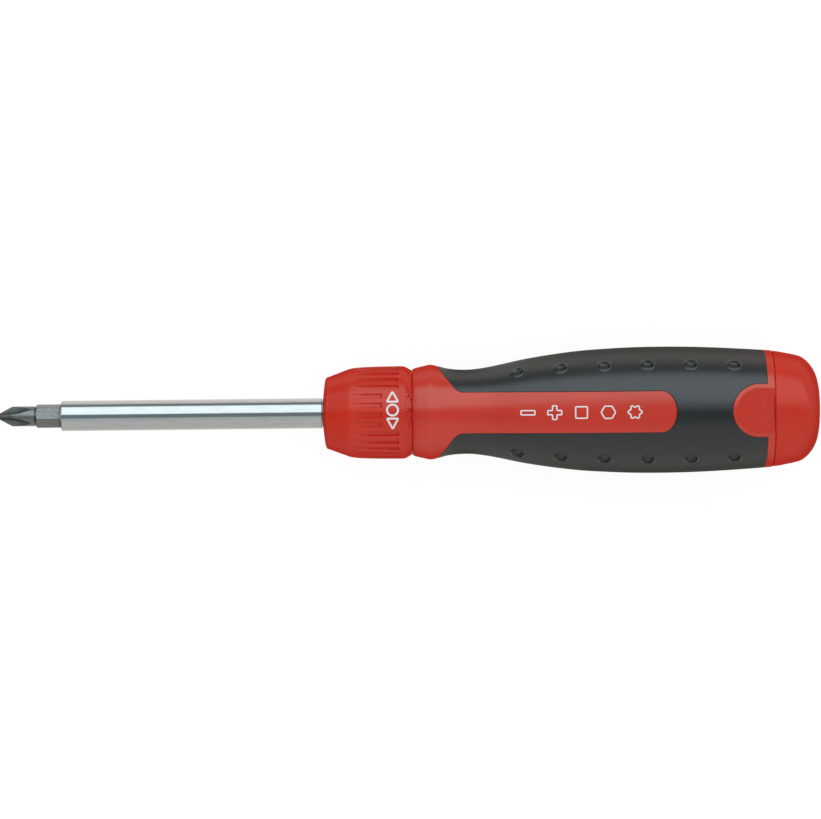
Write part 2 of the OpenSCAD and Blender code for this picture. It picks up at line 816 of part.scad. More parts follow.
// Outline, in X and Y, of what the soft grip leaves bare: the panel that opens into a funnel
// towards the collar, and the thumb tab at the rear. A positive gap makes it wider.
function arc_points(cx, cy, rx, ry, from, to, steps) = [
    for (i = [0 : steps])
        let (a = from + (to - from) * i / steps)
        [cx + rx * cos(a), cy + ry * sin(a)]
];
function panel_side(gap) =
    let (
        half = panel_w / 2 + gap,
        mouth = handle_outline[0][1] + belly_r,
        meet = grip_front + gap + (height_at(handle_outline, grip_front) - half) / tan(funnel_angle),
        fillet = funnel_fillet,
        tangent = fillet * tan(funnel_angle / 2),
        end_rx = panel_end_share * half
    )
    concat(
        [[meet - (mouth - half) / tan(funnel_angle), mouth]],
        arc_points(meet + tangent, half + fillet, fillet, fillet, 270 - funnel_angle, 270, 6),
        arc_points(panel_rear + gap - end_rx, 0, end_rx, half, 90, 0, 12)
    );
module panel_outline(gap) {
    side = panel_side(gap);
    polygon(concat(
        [[handle_front - over, side[0][1]]],
        side,
        [for (p = reversed(side)) [p[0], -p[1]]],
        [[handle_front - over, -side[0][1]]]
    ));
}
module tab_outline(gap) {
    half = tab_w / 2 + gap;
    front = grip_rear - tab_length - gap;
    polygon(concat(
        [[handle_rear + over, -half]],
        [[handle_rear + over, half]],
        arc_points(front + half, 0, half, half, 90, 270, 16)
    ));
}
module bare_areas(gap) {
    translate([0, 0, -belly_d])
        linear_extrude(2 * belly_d) {
            panel_outline(gap);
            tab_outline(gap);
        }
}

// Layer of the handle's surface, wall thick, without the bare areas
module grip_layer(wall, gap) {
    x0 = grip_front - gap;
    x1 = grip_rear + gap;
    difference() {
        turned(concat(
            clipped(inset(handle_outline, gap > 0 ? -over : 0), x0, x1),
            reversed(clipped(inset(handle_outline, wall + gap), x0, x1))
        ));
        bare_areas(-gap);
    }
}

// Pocket with a flat floor in each thumb tab, open to the cap's seam
thumb_flat_r = sqrt(rear_r * rear_r - thumb_flat_w * thumb_flat_w / 4);
module thumb_flats() {
    half = thumb_flat_w / 2;
    rise = belly_r - thumb_flat_r + over;
    border = (tab_w - thumb_flat_w) / 2;
    spread = rise * border / (height_at(handle_outline, grip_rear - tab_length) - thumb_flat_r);
    centre = grip_rear - tab_length + tab_w / 2;
    for (side = [0, 180])
        rotate([side, 0, 0]) {
            translate([centre, 0, thumb_flat_r])
                cylinder(h = rise, r1 = half, r2 = half + spread);
            section(centre, handle_rear + over)
                polygon([
                    [-half, thumb_flat_r], [half, thumb_flat_r],
                    [half + spread, thumb_flat_r + rise], [-half - spread, thumb_flat_r + rise]
                ]);
        }
}

// Handle core: hard moulding that shows in the panel, the front ring and the thumb tabs
module handle_core() {
    color("firebrick")
        difference() {
            turned(concat([[handle_front, 0]], handle_outline, [[handle_rear, 0]]));
            grip_layer(grip_wall, fix_gap);
            thumb_flats();
            rod(handle_front - over, stem_rear + washer_w + 2 * run_gap, stem_r + fix_gap);
            for (i = [0 : key_count - 1])
                rotate([i * 360 / key_count, 0, 0])
                    translate([handle_front - over, -key_w / 2 - fix_gap, 0])
                        cube([stem_length + fix_gap, key_w + 2 * fix_gap, stem_r + key_h + fix_gap]);
            rod(stem_rear, shaft_rear + tail_bore_length, tail_bore_r);
            rod(shaft_rear + tail_bore_length + bulkhead, store_front, core_bore_r);
            difference() {
                rod(store_front - slip_gap, handle_rear + over, bay_r);
                for (side = [0, 180])
                    rotate([side, 0, 0])
                        translate([store_front - over, -bay_key_w / 2, bay_r - bay_key_h])
                            cube([handle_rear - stop_ring_w - store_front, bay_key_w, over + bay_key_h]);
            }
            rod(handle_rear - stop_ring_w - fix_gap, handle_rear + over, rear_bore_r);
        }
}

// Soft grip: moulded over the core, with rows of lipped dimples beside the panel
module dimple_places() {
    for (back = [0, 180])
        for (side = [-1, 1])
            for (i = [0 : dimple_count - 1]) {
                x = handle_front + dimple_first + i * dimple_pitch;
                r = height_at(handle_outline, x);
                rise = height_at(handle_outline, x + over) - height_at(handle_outline, x - over);
                lean = atan(rise / (2 * over));
                rotate([back + dimple_turn + side * (dimple_angle + dimple_spread * (belly_r - r)), 0, 0])
                    translate([x, 0, r])
                        rotate([0, -lean, 0])
                            children();
            }
}
module soft_grip() {
    bowl_chord = dimple_d / 2 - dimple_rim;
    bowl_sag = dimple_lip + dimple_depth;
    bowl_r = (bowl_chord * bowl_chord + bowl_sag * bowl_sag) / (2 * bowl_sag);
    color("darkslategray")
        difference() {
            union() {
                grip_layer(grip_wall, 0);
                dimple_places()
                    translate([0, 0, -dimple_depth])
                        cylinder(h = dimple_depth + dimple_lip, r1 = dimple_d / 2 + dimple_depth / 3,
                            r2 = dimple_d / 2 - dimple_lip);
            }
            dimple_places()
                translate([0, 0, bowl_r - dimple_depth])
                    sphere(r = bowl_r);
        }
}

// Ring at the mouth of the bay: the store's front disc stops against it
module store_stop_ring() {
    color("dimgray")
        difference() {
            tube(handle_rear - stop_ring_w, handle_rear - 3 * fix_gap, rear_bore_r - fix_gap, stop_ring_r);
            for (side = [0, 180])
                rotate([side, 0, 0])
                    translate([handle_rear - stop_ring_w - over, -bay_key_w, 0])
                        cube([over + 2 * fix_gap, 2 * bay_key_w, bay_r]);
        }
}

// Bit store: six channels round a core, closed by a disc at the front and the flange at the rear
module at_stored_bits() {
    for (i = [0 : store_count - 1])
        rotate([i * 360 / store_count, 0, 0])
            translate([0, store_r, 0])
                children();
}
module bit_store() {
    window_front = (store_bits_front + store_bits_rear - store_window) / 2;
    color("whitesmoke")
        difference() {
            union() {
                rod(store_front, store_front + store_disc, store_disc_r);
                rod(store_front, store_rear + over / 2, store_body_r);
                rod(store_rear, store_rear + store_flange, store_flange_r);
                rod(store_rear, cap_front + store_flange + pivot_length, pivot_r);
            }
            at_stored_bits() {
                section(store_bits_front - store_end_gap, store_bits_rear + store_end_gap)
                    rotate(30)
                        hexagon(bit_flats + 2 * slip_gap);
                translate([store_bits_front - store_end_gap, 0, -store_mouth / 2])
                    cube([bit_length + 2 * store_end_gap, store_body_r, store_mouth]);
                translate([window_front, 0, -store_window_w / 2])
                    cube([store_window, store_body_r, store_window_w]);
            }
            for (side = [0, 180])
                rotate([side, 0, 0])
                    translate([store_front - over, -bay_key_w / 2 - slip_gap, bay_r - bay_key_h - slip_gap])
                        cube([store_rear - store_front + over, bay_key_w + 2 * slip_gap, over + bay_key_h]);
            rod(store_front - over, store_rear - store_disc, store_core_bore_r);
            tube(pivot_ring_x - fix_gap, pivot_ring_x + pivot_ring_w + fix_gap, 2 * pivot_r,
                pivot_r - pivot_ring_depth);
        }
}
// Sizes of the two tips of each stored bit: widths across the tip, or the thickness of a slotted tip
cross_sizes = [0.8 * neck_d, neck_d];
square_sizes = [2.3, 2.85];
slot_sizes = [0.8, 1.1];
small_star_sizes = [2.75, 3.27];
large_star_sizes = [3.86, 4.43];
hex_sizes = [3, 4];
module stored_bit(i, kind, sizes) {
    color("dimgray")
        rotate([(i - 1) * 360 / store_count, 0, 0])
            translate([store_bits_front + bit_tip_length, store_r, 0])
                double_bit(kind, sizes[0], kind, sizes[1], 30);
}
module stored_bit_1() {
    stored_bit(1, "cross", cross_sizes);
}
module stored_bit_2() {
    stored_bit(2, "square", square_sizes);
}
module stored_bit_3() {
    stored_bit(3, "slot", slot_sizes);
}
module stored_bit_4() {
    stored_bit(4, "star", small_star_sizes);
}
module stored_bit_5() {
    stored_bit(5, "star", large_star_sizes);
}
module stored_bit_6() {
    stored_bit(6, "hex", hex_sizes);
}

module cap_washer() {
    color("gainsboro")
        tube(store_rear + store_flange + fix_gap, store_rear + store_flange + fix_gap + cap_washer_w,
            cap_washer_r, pivot_r + fix_gap);
}

// Split ring that holds the cap on the store's pivot
pivot_ring_x = cap_front + store_flange + 0.55 * pivot_length;
module cap_snap_ring() {
    color("lightsteelblue")
        split_ring(pivot_ring_x, pivot_ring_x + pivot_ring_w, pivot_r + pivot_ring_depth,
            pivot_r - pivot_ring_depth + run_gap, 40);
}

// Palm cap: domed shell with a ribbed hub, free to spin on the store's pivot
module palm_cap() {
    hub_r = pivot_r + run_gap + hub_wall;
    floor_x = cap_front + cap_web_share * cap_length;
    cavity_r = height_at(cap_outline, floor_x) - cap_wall;
    color("firebrick")
        difference() {
            turned(concat([[cap_front, 0]], cap_outline));
            rod(cap_front - over, hub_front, store_flange_r + slip_gap);
            difference() {
                rod(hub_front - fix_gap, floor_x, cavity_r);
                rod(cap_front - over, cap_rear, hub_r);
                for (i = [0 : rib_count - 1])
                    rotate([i * 360 / rib_count, 0, 0])
                        translate([cap_front, -rib_w / 2, 0])
                            cube([cap_length, rib_w, belly_r]);
            }
            rod(cap_front - over, cap_front + store_flange + pivot_length + 2 * run_gap, pivot_r + run_gap);
            rod(pivot_ring_x - fix_gap, pivot_ring_x + pivot_ring_w + fix_gap,
                pivot_r + pivot_ring_depth + fix_gap);
        }
}

working_bit();
shaft();
bit_clip_ring();
ratchet_wheel();
thrust_washer();
shaft_circlip();
selector_collar();
cam_ring();
collar_snap_ring();
forward_pawl();
reverse_pawl();
forward_pawl_spring();
reverse_pawl_spring();
detent_leaf();
ratchet_housing();
housing_sleeve();
shaft_bushing();
handle_core();
soft_grip();
store_stop_ring();
bit_store();
cap_washer();
cap_snap_ring();
palm_cap();
stored_bit_1();
stored_bit_2();
stored_bit_3();
stored_bit_4();
stored_bit_5();
stored_bit_6();
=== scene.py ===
"""Looks of a ratcheting screwdriver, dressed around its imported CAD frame.

Everything lies in the frame of the CAD: the tool's axis runs along X, the nose of the
shaft is at the origin, the bit points to -X, the cap to +X, and the panel with the
selector marks faces +Z. Sizes in this file are in millimetres and degrees, as they are in
the part's source, and a mesh becomes metres when it is made. A round surface is a function
of the station x and the angle phi, which is measured from +Z towards +Y.
"""

import json
import logging
import math
from collections.abc import Callable
from dataclasses import dataclass, field
from enum import Enum

import bmesh
import bpy
import numpy as np
from mathutils import Matrix, Vector

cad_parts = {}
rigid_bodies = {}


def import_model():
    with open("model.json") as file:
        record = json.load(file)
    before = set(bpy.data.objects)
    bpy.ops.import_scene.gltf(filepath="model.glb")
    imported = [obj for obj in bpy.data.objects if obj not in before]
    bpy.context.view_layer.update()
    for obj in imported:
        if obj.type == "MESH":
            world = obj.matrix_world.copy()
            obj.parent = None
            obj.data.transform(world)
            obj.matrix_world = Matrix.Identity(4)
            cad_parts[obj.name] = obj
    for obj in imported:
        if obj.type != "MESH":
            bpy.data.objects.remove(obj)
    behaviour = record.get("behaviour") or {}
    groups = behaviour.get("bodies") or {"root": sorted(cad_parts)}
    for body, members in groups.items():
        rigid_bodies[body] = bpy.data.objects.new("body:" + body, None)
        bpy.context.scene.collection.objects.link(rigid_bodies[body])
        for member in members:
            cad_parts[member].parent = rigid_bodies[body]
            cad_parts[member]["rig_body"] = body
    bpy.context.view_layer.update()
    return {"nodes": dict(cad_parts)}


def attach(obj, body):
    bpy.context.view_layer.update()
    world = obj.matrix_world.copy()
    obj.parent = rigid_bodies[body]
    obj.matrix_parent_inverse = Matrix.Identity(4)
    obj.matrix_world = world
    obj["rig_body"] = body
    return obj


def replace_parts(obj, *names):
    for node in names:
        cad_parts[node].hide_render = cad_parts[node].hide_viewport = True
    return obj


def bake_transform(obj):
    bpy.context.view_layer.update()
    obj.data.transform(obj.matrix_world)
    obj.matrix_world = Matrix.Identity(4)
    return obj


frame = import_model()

log = logging.getLogger("screwdriver")
MM = 0.001
WELD = 1e-6
WHITE = (1, 1, 1, 1)
# Distances from an edge at which its rows or columns lie, for its rounding.
CLOSE = (0, 0.05, 0.12, 0.22, 0.4)
Array = np.ndarray
Mesh = bpy.types.Mesh
Tree = bpy.types.NodeTree
Node = bpy.types.Node
Socket = bpy.types.NodeSocket
Object = bpy.types.Object
Material = bpy.types.Material
Path = list[tuple[float, float]]
Span = tuple[str, tuple[float, float, float], tuple[float, float, float]]


# ---- Numbers and curves ----


def smoothstep(low: float, high: float, value: Array) -> Array:
    """Rise t²(3 − 2t) from 0 at low to 1 at high, t going from 0 to 1 with the value."""
    t = np.clip((value - low) / (high - low), 0, 1)
    return t * t * (3 - 2 * t)


def soft_min(a: Array, b: Array, width: float) -> Array:
    """Smaller height, less h²·width/4 with h = 1 − |a − b| / width, no less than 0."""
    h = np.maximum(width - np.abs(a - b), 0) / width
    return np.minimum(a, b) - h * h * width / 4


def edge_drop(distance: Array, radius: float) -> Array:
    """Fall R − √(R² − (R − d)²) of a rounded edge below its face, d < R being the distance."""
    left = radius - np.clip(distance, 0, radius)
    return radius - np.sqrt(np.maximum(radius * radius - left * left, 0))


def filled(stations: list[float] | Array, step: float) -> Array:
    """Sorted stations, with each space between neighbours divided into steps no longer than given.

    Args:
        stations: The stations that have to be there.
        step: Longest step.

    Returns:
        All the stations.
    """
    keys = np.unique(np.round(np.asarray(stations, float), 5))
    counts = np.maximum(np.ceil(np.diff(keys) / step - 1e-6), 1).astype(int)
    runs = [a + (b - a) * np.arange(n) / n for a, b, n in zip(keys[:-1], keys[1:], counts)]
    return np.append(np.concatenate(runs), keys[-1])


def clustered(edge: float, inwards: float, offsets: tuple[float, ...] = CLOSE) -> list[float]:
    """Stations that crowd towards an edge from the side inwards, +1 or -1, for its rounding."""
    return [edge + inwards * d for d in offsets]


def signed(angle: Array) -> Array:
    """Angles brought between -180 and 180 degrees."""
    return (angle + 180) % 360 - 180


def around(x: Array | float, r: Array | float, phi: Array | float) -> Array:
    """Points (x, r·sin phi, r·cos phi), phi in degrees from +Z towards +Y.

    Args:
        x: Stations along the axis.
        r: Radii.
        phi: Angles.

    Returns:
        Points whose last dimension is the coordinate.
    """
    angle = np.radians(phi)
    x, r, angle = np.broadcast_arrays(x, r, angle)
    return np.stack([x, r * np.sin(angle), r * np.cos(angle)], -1)


def rounded(path: Path, radius: float | list[float], steps: int = 4) -> Array:
    """Open path whose corners C are rounded by the curves (1−t)²A + 2t(1−t)C + t²B.

    A and B lie on the path, a radius before and after the corner.

    Args:
        path: Corners of the path.
        radius: One radius, or one for each corner.
        steps: Points in each rounding, less one.

    Returns:
        Points of the rounded path.
    """
    p = np.array(path, float)
    radii = np.broadcast_to(np.asarray(radius, float), len(p))
    leg = np.diff(p, axis=0)
    length = np.linalg.norm(leg, axis=1)
    unit = leg / length[:, None]
    reach = np.minimum(radii[1:-1], 0.48 * np.minimum(length[:-1], length[1:]))[:, None]
    corner, before, after = p[1:-1], p[1:-1] - unit[:-1] * reach, p[1:-1] + unit[1:] * reach
    t = np.linspace(0, 1, steps + 1)[None, :, None]
    bends = (1 - t) ** 2 * before[:, None] + 2 * t * (1 - t) * corner[:, None] + t * t * after[:, None]
    return np.concatenate([p[:1], bends.reshape(-1, 2), p[-1:]])


@dataclass(frozen=True)
class Outline:
    """Smooth outline of a turned piece.

    Attributes:
        shares: Points of the outline, as shares of the length and of the radius.
        start: Station of the outline's front end.
        length: Length of the outline.
        radius: Radius that a share of 1 stands for.
    """

    shares: tuple[tuple[float, float], ...]
    start: float
    length: float
    radius: float

    def curve(self, steps: int = 8) -> Array:
        """Points [x, r] of the curve through the shares.

        Between neighbours p and q, a distance h apart, it is p(1 − a) + q·a + h(m·b + n·c),
        with a = u²(3 − 2u), b = u(1 − u)², c = u²(u − 1), and m, n the directions at p and q.

        Args:
            steps: Steps between neighbours.

        Returns:
            The points, front to rear.
        """
        p = np.array(self.shares) * [self.length, self.radius] + [self.start, 0]
        way = np.linalg.norm(np.diff(p, axis=0), axis=1)
        m = np.gradient(p, np.append(0, np.cumsum(way)), axis=0)
        h = way[:, None, None]
        u = np.linspace(0, 1, steps, endpoint=False)[None, :, None]
        a, b, c = u * u * (3 - 2 * u), u * (1 - u) ** 2, u * u * (u - 1)
        inner = p[:-1, None] * (1 - a) + p[1:, None] * a + h * (m[:-1, None] * b + m[1:, None] * c)
        return np.concatenate([inner.reshape(-1, 2), p[-1:]])

    def r(self, x: Array | float) -> Array:
        """Radius at each station."""
        curve = self.curve()
        return np.interp(x, curve[:, 0], curve[:, 1])

    def lean(self, x: Array | float) -> Array:
        """Rise of the radius for each millimetre along the axis."""
        return (self.r(np.asarray(x) + 0.3) - self.r(np.asarray(x) - 0.3)) / 0.6


# ---- Meshes ----


class Shell:
    """Patches of quads, in millimetres, that are welded into one closed mesh."""

    def __init__(self, name: str) -> None:
        """Starts an empty shell.

        Args:
            name: Name of the finished piece.
        """
        self.name = name
        self.points: list[Array] = []
        self.faces: list[Array] = []
        self.size = 0

    def grid(self, points: Array, skip: Array | None = None) -> None:
        """Adds the quads between the points of a grid.

        Args:
            points: Grid of points, of shape (rows, columns, 3).
            skip: Cells to leave open, of shape (rows − 1, columns − 1).
        """
        rows, columns = points.shape[:2]
        index = np.arange(rows * columns).reshape(rows, columns) + self.size
        quads = np.stack([index[:-1, :-1], index[1:, :-1], index[1:, 1:], index[:-1, 1:]], -1)
        self.faces.append(quads.reshape(-1, 4) if skip is None else quads[~skip])
        self.points.append(points.reshape(-1, 3))
        self.size += rows * columns

    def solid(self, body: str, finish: Material, crease: float) -> Object:
        """Welds the patches and makes them a piece.

        Args:
            body: CAD body that the piece rides on.
            finish: Material of the piece.
            crease: Edges that turn by more than this many degrees stay sharp.

        Returns:
            The finished piece.
        """
        mesh = bpy.data.meshes.new(self.name)
        faces = np.concatenate(self.faces)
        mesh.from_pydata((np.concatenate(self.points) * MM).tolist(), [], faces.tolist())
        weld(mesh)
        return piece(mesh, body, finish, crease)


def weld(mesh: Mesh) -> None:
    """Merges doubles, drops what collapsed, and turns the faces outwards.

    Args:
        mesh: Mesh that is changed.
    """
    work = bmesh.new()
    work.from_mesh(mesh)
    bmesh.ops.remove_doubles(work, verts=work.verts, dist=WELD)
    bmesh.ops.dissolve_degenerate(work, edges=work.edges, dist=WELD / 10)
    loose = [v for v in work.verts if not v.link_faces]
    bmesh.ops.delete(work, geom=loose, context="VERTS")
    bmesh.ops.recalc_face_normals(work, faces=work.faces)
    open_edges = sum(not e.is_manifold for e in work.edges)
    if open_edges:
        log.warning("%s has %d open edges", mesh.name, open_edges)
    work.to_mesh(mesh)
    work.free()


def piece(
    mesh: Mesh, body: str, finish: Material, crease: float, span: Span | None = None
) -> Object:
    """Makes a mesh a piece that rides on a body of the frame.

    Args:
        mesh: Mesh in metres.
        body: CAD body that the piece rides on.
        finish: Material of the piece.
        crease: Edges that turn by more than this many degrees stay sharp.
        span: Second body of a piece that reaches between two, with the points in metres where it
            leaves the first body and where it has reached the second; when it is given, the piece is
            left on no body, in the world's frame.

    Returns:
        The finished piece.
    """
    mesh.polygons.foreach_set("use_smooth", np.ones(len(mesh.polygons), bool))
    mesh.set_sharp_from_angle(angle=math.radians(crease))
    mesh.materials.clear()
    mesh.materials.append(finish)
    made = bpy.data.objects.new(mesh.name, mesh)
    bpy.context.scene.collection.objects.link(made)
    if span:
        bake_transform(made)
    else:
        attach(made, body)
    mesh.calc_loop_triangles()
    log.info("%s: %d triangles on %s", made.name, len(mesh.loop_triangles), body)
    return made


def smoothed_copy(
    node: str, finish: Material, crease: float, span: Span | None = None
) -> Object:
    """Piece with the shape of a CAD node, whose facets are welded and shaded as curves.

    Args:
        node: CAD node that the piece stands for.
        finish: Material of the piece.
        crease: Edges that turn by more than this many degrees stay sharp.
        span: Second body of a piece that reaches between two, and the points between them; when it is
            given, the piece is left on no body.

    Returns:
        The finished piece.
    """
    source = frame["nodes"][node]
    mesh = source.data.copy()
    mesh.name = node + "_finished"
    work = bmesh.new()
    work.from_mesh(mesh)
    bmesh.ops.remove_doubles(work, verts=work.verts, dist=WELD)
    work.to_mesh(mesh)
    work.free()
    made = piece(mesh, source["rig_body"], finish, crease, span)
    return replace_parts(made, node)


# ---- Finishes ----


def colour(code: str) -> tuple[float, float, float, float]:
    """Linear colour of an sRGB hex value: c/12.92 up to 0.04045, else ((c + 0.055)/1.055)^2.4.

    Args:
        code: Six hex digits.

    Returns:
        Linear red, green, blue and an alpha of 1.
    """
    c = np.array([int(code[i : i + 2], 16) / 255 for i in (0, 2, 4)])
    linear = np.where(c <= 0.04045, c / 12.92, ((c + 0.055) / 1.055) ** 2.4)
    return (*linear.tolist(), 1.0)


def add(tree: Tree, kind: str, inputs: dict | None = None, **settings: object) -> Node:
    """Adds one node with its settings and links.

    Args:
        tree: Tree that gets the node.
        kind: Blender's name of the node's kind, without ShaderNode.
        inputs: Value, or socket to link from, for each named or numbered input.
        settings: Properties of the node.

    Returns:
        The node.
    """
    node = tree.nodes.new("ShaderNode" + kind)
    for key, value in settings.items():
        setattr(node, key, value)
    for key, value in (inputs or {}).items():
        if isinstance(value, Socket):
            tree.links.new(value, node.inputs[key])
        else:
            node.inputs[key].default_value = value
    return node


def computed(tree: Tree, operation: str, *values: Socket | float) -> Socket:
    """Result of a math node."""
    return add(tree, "Math", dict(enumerate(values)), operation=operation).outputs[0]


def mixed(tree: Tree, share: Socket | float, a: object, b: object, **settings: object) -> Socket:
    """Colour a going over to colour b with the share."""
    inputs = {"Factor": share, "A": a, "B": b}
    return add(tree, "Mix", inputs, data_type="RGBA", **settings).outputs["Result"]


def noise(tree: Tree, place: Socket, size: float, detail: float) -> Socket:
    """Noise whose patches are about a size in millimetres wide."""
    inputs = {"Vector": place, "Scale": 1 / (size * MM), "Detail": detail}
    return add(tree, "TexNoise", inputs).outputs["Fac"]


def remap(
    tree: Tree, value: Socket, low: float, high: float, to_low: float = 0, to_high: float = 1,
    **settings: object,
) -> Socket:
    """Value mapped from one range to another, and held within it."""
    ends = {"From Min": low, "From Max": high, "To Min": to_low, "To Max": to_high}
    return add(tree, "MapRange", {"Value": value, **ends}, **settings).outputs[0]


def relief(tree: Tree, height: Socket, depth: float, under: Socket | None = None) -> Socket:
    """Normal of a bump of a depth in millimetres, laid on the normal under it."""
    inputs = {"Height": height, "Strength": 1, "Distance": depth * MM}
    return add(tree, "Bump", inputs | ({"Normal": under} if under else {})).outputs[0]


def openness(tree: Tree, distance: float, low: float, high: float) -> Socket:
    """0 deep in a groove and 1 on an open face, as seen within a distance in millimetres."""
    hollow = add(tree, "AmbientOcclusion", {"Distance": distance * MM}, samples=8)
    return remap(tree, hollow.outputs["AO"], low, high)


def ramp(tree: Tree, share: Socket, stops: tuple, low: float, high: float) -> Socket:
    """Adds a colour ramp.

    Args:
        tree: Tree that gets the node.
        share: Place on the ramp, from 0 to 1.
        stops: Place, from low to high, and linear colour of each stop.
        low: Place that stands for 0.
        high: Place that stands for 1.

    Returns:
        The colour at the share.
    """
    node = add(tree, "ValToRGB", {"Fac": share})
    elements = node.color_ramp.elements
    for at, tone in stops[1:-1]:
        elements.new((at - low) / (high - low)).color = tone
    elements[0].color, elements[-1].color = stops[0][1], stops[-1][1]
    return node.outputs["Color"]


def blank(name: str) -> tuple[Material, Tree, Node]:
    """New node material with nothing in it but its output.

    Args:
        name: Name of the material.

    Returns:
        The material, its tree and its output node.
    """
    made = bpy.data.materials.new(name)
    made.use_nodes = True
    made.node_tree.nodes.clear()
    return made, made.node_tree, add(made.node_tree, "OutputMaterial")


@dataclass(frozen=True)
class Moulded:
    """Injection-moulded plastic or rubber.

    A polished tool leaves a slightly wavy skin, and a spark-eroded one leaves a fine, even
    grain that spreads the highlight.

    Attributes:
        name: Name of the material.
        tone: Colour of the moulding.
        shade: Colour of its slightly darker patches.
        roughness: Roughness of the skin.
        grain: Spacing of the tool's grain in millimetres.
        grain_depth: Depth of the grain in millimetres.
        wave: Length of the sink and flow waves in millimetres.
        wave_depth: Depth of the waves in millimetres.
        ior: Index of refraction.
        gloss: Strength of the highlight: 0.5 is the bare resin's, more for a polished tool.
        edge: Colour of the grain's own matt look at a glancing angle.
        edge_share: Share of the matt look at the edge.
        round_edge: Whether the glancing angle is the big round form's, so that raised rims keep
            their gloss, and not the surface's own.
        crease: Colour of the painted shade deep in a seam or a groove, where the highlight is dimmed
            too.
        sheen: Tint of the highlight.
    """

    name: str
    tone: str
    shade: str
    roughness: float
    grain: float
    grain_depth: float
    wave: float = 14
    wave_depth: float = 0.02
    ior: float = 1.5
    gloss: float = 0.5
    edge: str = "3C3B38"
    edge_share: float = 0
    round_edge: bool = False
    crease: str = ""
    sheen: str = "FFFFFF"

    def material(self) -> Material:
        """Builds the node material.

        Returns:
            The material.
        """
        made, tree, output = blank(self.name)
        place = add(tree, "TexCoord").outputs["Object"]
        waves, grains = noise(tree, place, self.wave, 1.5), noise(tree, place, self.grain, 2)
        base = mixed(tree, remap(tree, waves, 0.3, 0.7), colour(self.shade), colour(self.tone))
        gloss = self.gloss
        # Painted shade: where ambient occlusion finds a seam or a groove, the colour goes over to the
        # crease colour and the highlight is dimmed.
        if self.crease:
            deep = openness(tree, 0.7, 0.3, 0.85)
            base = mixed(tree, deep, colour(self.crease), base)
            gloss = computed(tree, "MULTIPLY", deep, gloss)
        inputs = {
            "Base Color": base,
            "Roughness": remap(tree, grains, 0.3, 0.7, self.roughness - 0.04, self.roughness + 0.04),
            "IOR": self.ior,
            "Specular IOR Level": gloss,
            "Specular Tint": colour(self.sheen),
            "Normal": relief(tree, grains, self.grain_depth, relief(tree, waves, self.wave_depth)),
        }
        shader = add(tree, "BsdfPrincipled", inputs).outputs[0]
        matt = add(tree, "BsdfDiffuse", {"Color": colour(self.edge)}).outputs[0]
        if self.round_edge:
            facing, level = self.round_facing(tree, place)
        else:
            facing, level = add(tree, "LayerWeight", {"Blend": 0.5}).outputs["Facing"], 1
        glance = remap(tree, facing, 0.15, 0.7, 0, self.edge_share, interpolation_type="SMOOTHSTEP")
        share = computed(tree, "MULTIPLY", glance, level)
        mix = add(tree, "MixShader", {0: share, 1: shader, 2: matt})
        tree.links.new(mix.outputs[0], output.inputs["Surface"])
        return made

    @staticmethod
    def round_facing(tree: Tree, place: Socket) -> tuple[Socket, Socket]:
        """Adds nodes for 1 − |v·n| and |m·n|^10.

        v points to the eye, n away from the tool's axis, and m is the surface's own normal.

        Args:
            tree: Tree that gets the nodes.
            place: Object coordinates.

        Returns:
            Sockets: 0 where the round form faces the eye and 1 at its edge; 1 where the surface is
            level with the round form and near 0 on the polished flank of a raised rim.
        """
        away = add(tree, "VectorMath", {0: place, 1: (0, 1, 1)}, operation="MULTIPLY")
        spaces = {"vector_type": "NORMAL", "convert_from": "OBJECT", "convert_to": "WORLD"}
        turned = add(tree, "VectorTransform", {"Vector": away.outputs[0]}, **spaces)
        unit = add(tree, "VectorMath", {0: turned.outputs[0]}, operation="NORMALIZE")
        shape = add(tree, "NewGeometry")
        sizes = []
        for other in ("Incoming", "Normal"):
            ends = {0: unit.outputs[0], 1: shape.outputs[other]}
            along = add(tree, "VectorMath", ends, operation="DOT_PRODUCT")
            sizes.append(computed(tree, "ABSOLUTE", along.outputs["Value"]))
        return computed(tree, "SUBTRACT", 1, sizes[0]), computed(tree, "POWER", sizes[1], 10)


@dataclass(frozen=True)
class Metal:
    """Metal with the marks that its making left.

    Bar drawn or ground along its length has long fine streaks, and a blasted or phosphated
    face has an even grain: the stretch of the pattern tells them apart.

    Attributes:
        name: Name of the material.
        tone: Colour of the clean metal.
        shade: Colour of the duller streaks or specks.
        roughness: Roughness of the clean metal.
        rougher: Roughness added in the duller places.
        grain: Width of a streak or speck in millimetres.
        stretch: Length of a streak over its width.
        depth: Depth of the marks in millimetres.
        crease: Colour of the painted shade that the metal deep in a groove is multiplied by.
    """

    name: str
    tone: str
    shade: str
    roughness: float
    rougher: float
    grain: float
    stretch: float = 1
    depth: float = 0.001
    crease: str = "FFFFFF"

    def material(self) -> Material:
        """Builds the node material.

        Returns:
            The material.
        """
        made, tree, output = blank(self.name)
        place = {"Vector": add(tree, "TexCoord").outputs["Object"], "Scale": (1 / self.stretch, 1, 1)}
        marks = noise(tree, add(tree, "Mapping", place).outputs[0], self.grain, 3)
        spread = remap(tree, marks, 0.35, 0.7)
        tint = mixed(tree, spread, colour(self.tone), colour(self.shade))
        # Painted shade: deep in a groove, as ambient occlusion finds it, the metal is multiplied by
        # the crease colour.
        groove_shade = mixed(tree, openness(tree, 1.6, 0.35, 0.9), colour(self.crease), WHITE)
        inputs = {
            "Base Color": mixed(tree, 1, tint, groove_shade, blend_type="MULTIPLY"),
            "Metallic": 1,
            "Roughness": remap(tree, spread, 0, 1, self.roughness, self.roughness + self.rougher),
            "Normal": relief(tree, marks, self.depth),
        }
        shader = add(tree, "BsdfPrincipled", inputs)
        tree.links.new(shader.outputs[0], output.inputs["Surface"])
        return made


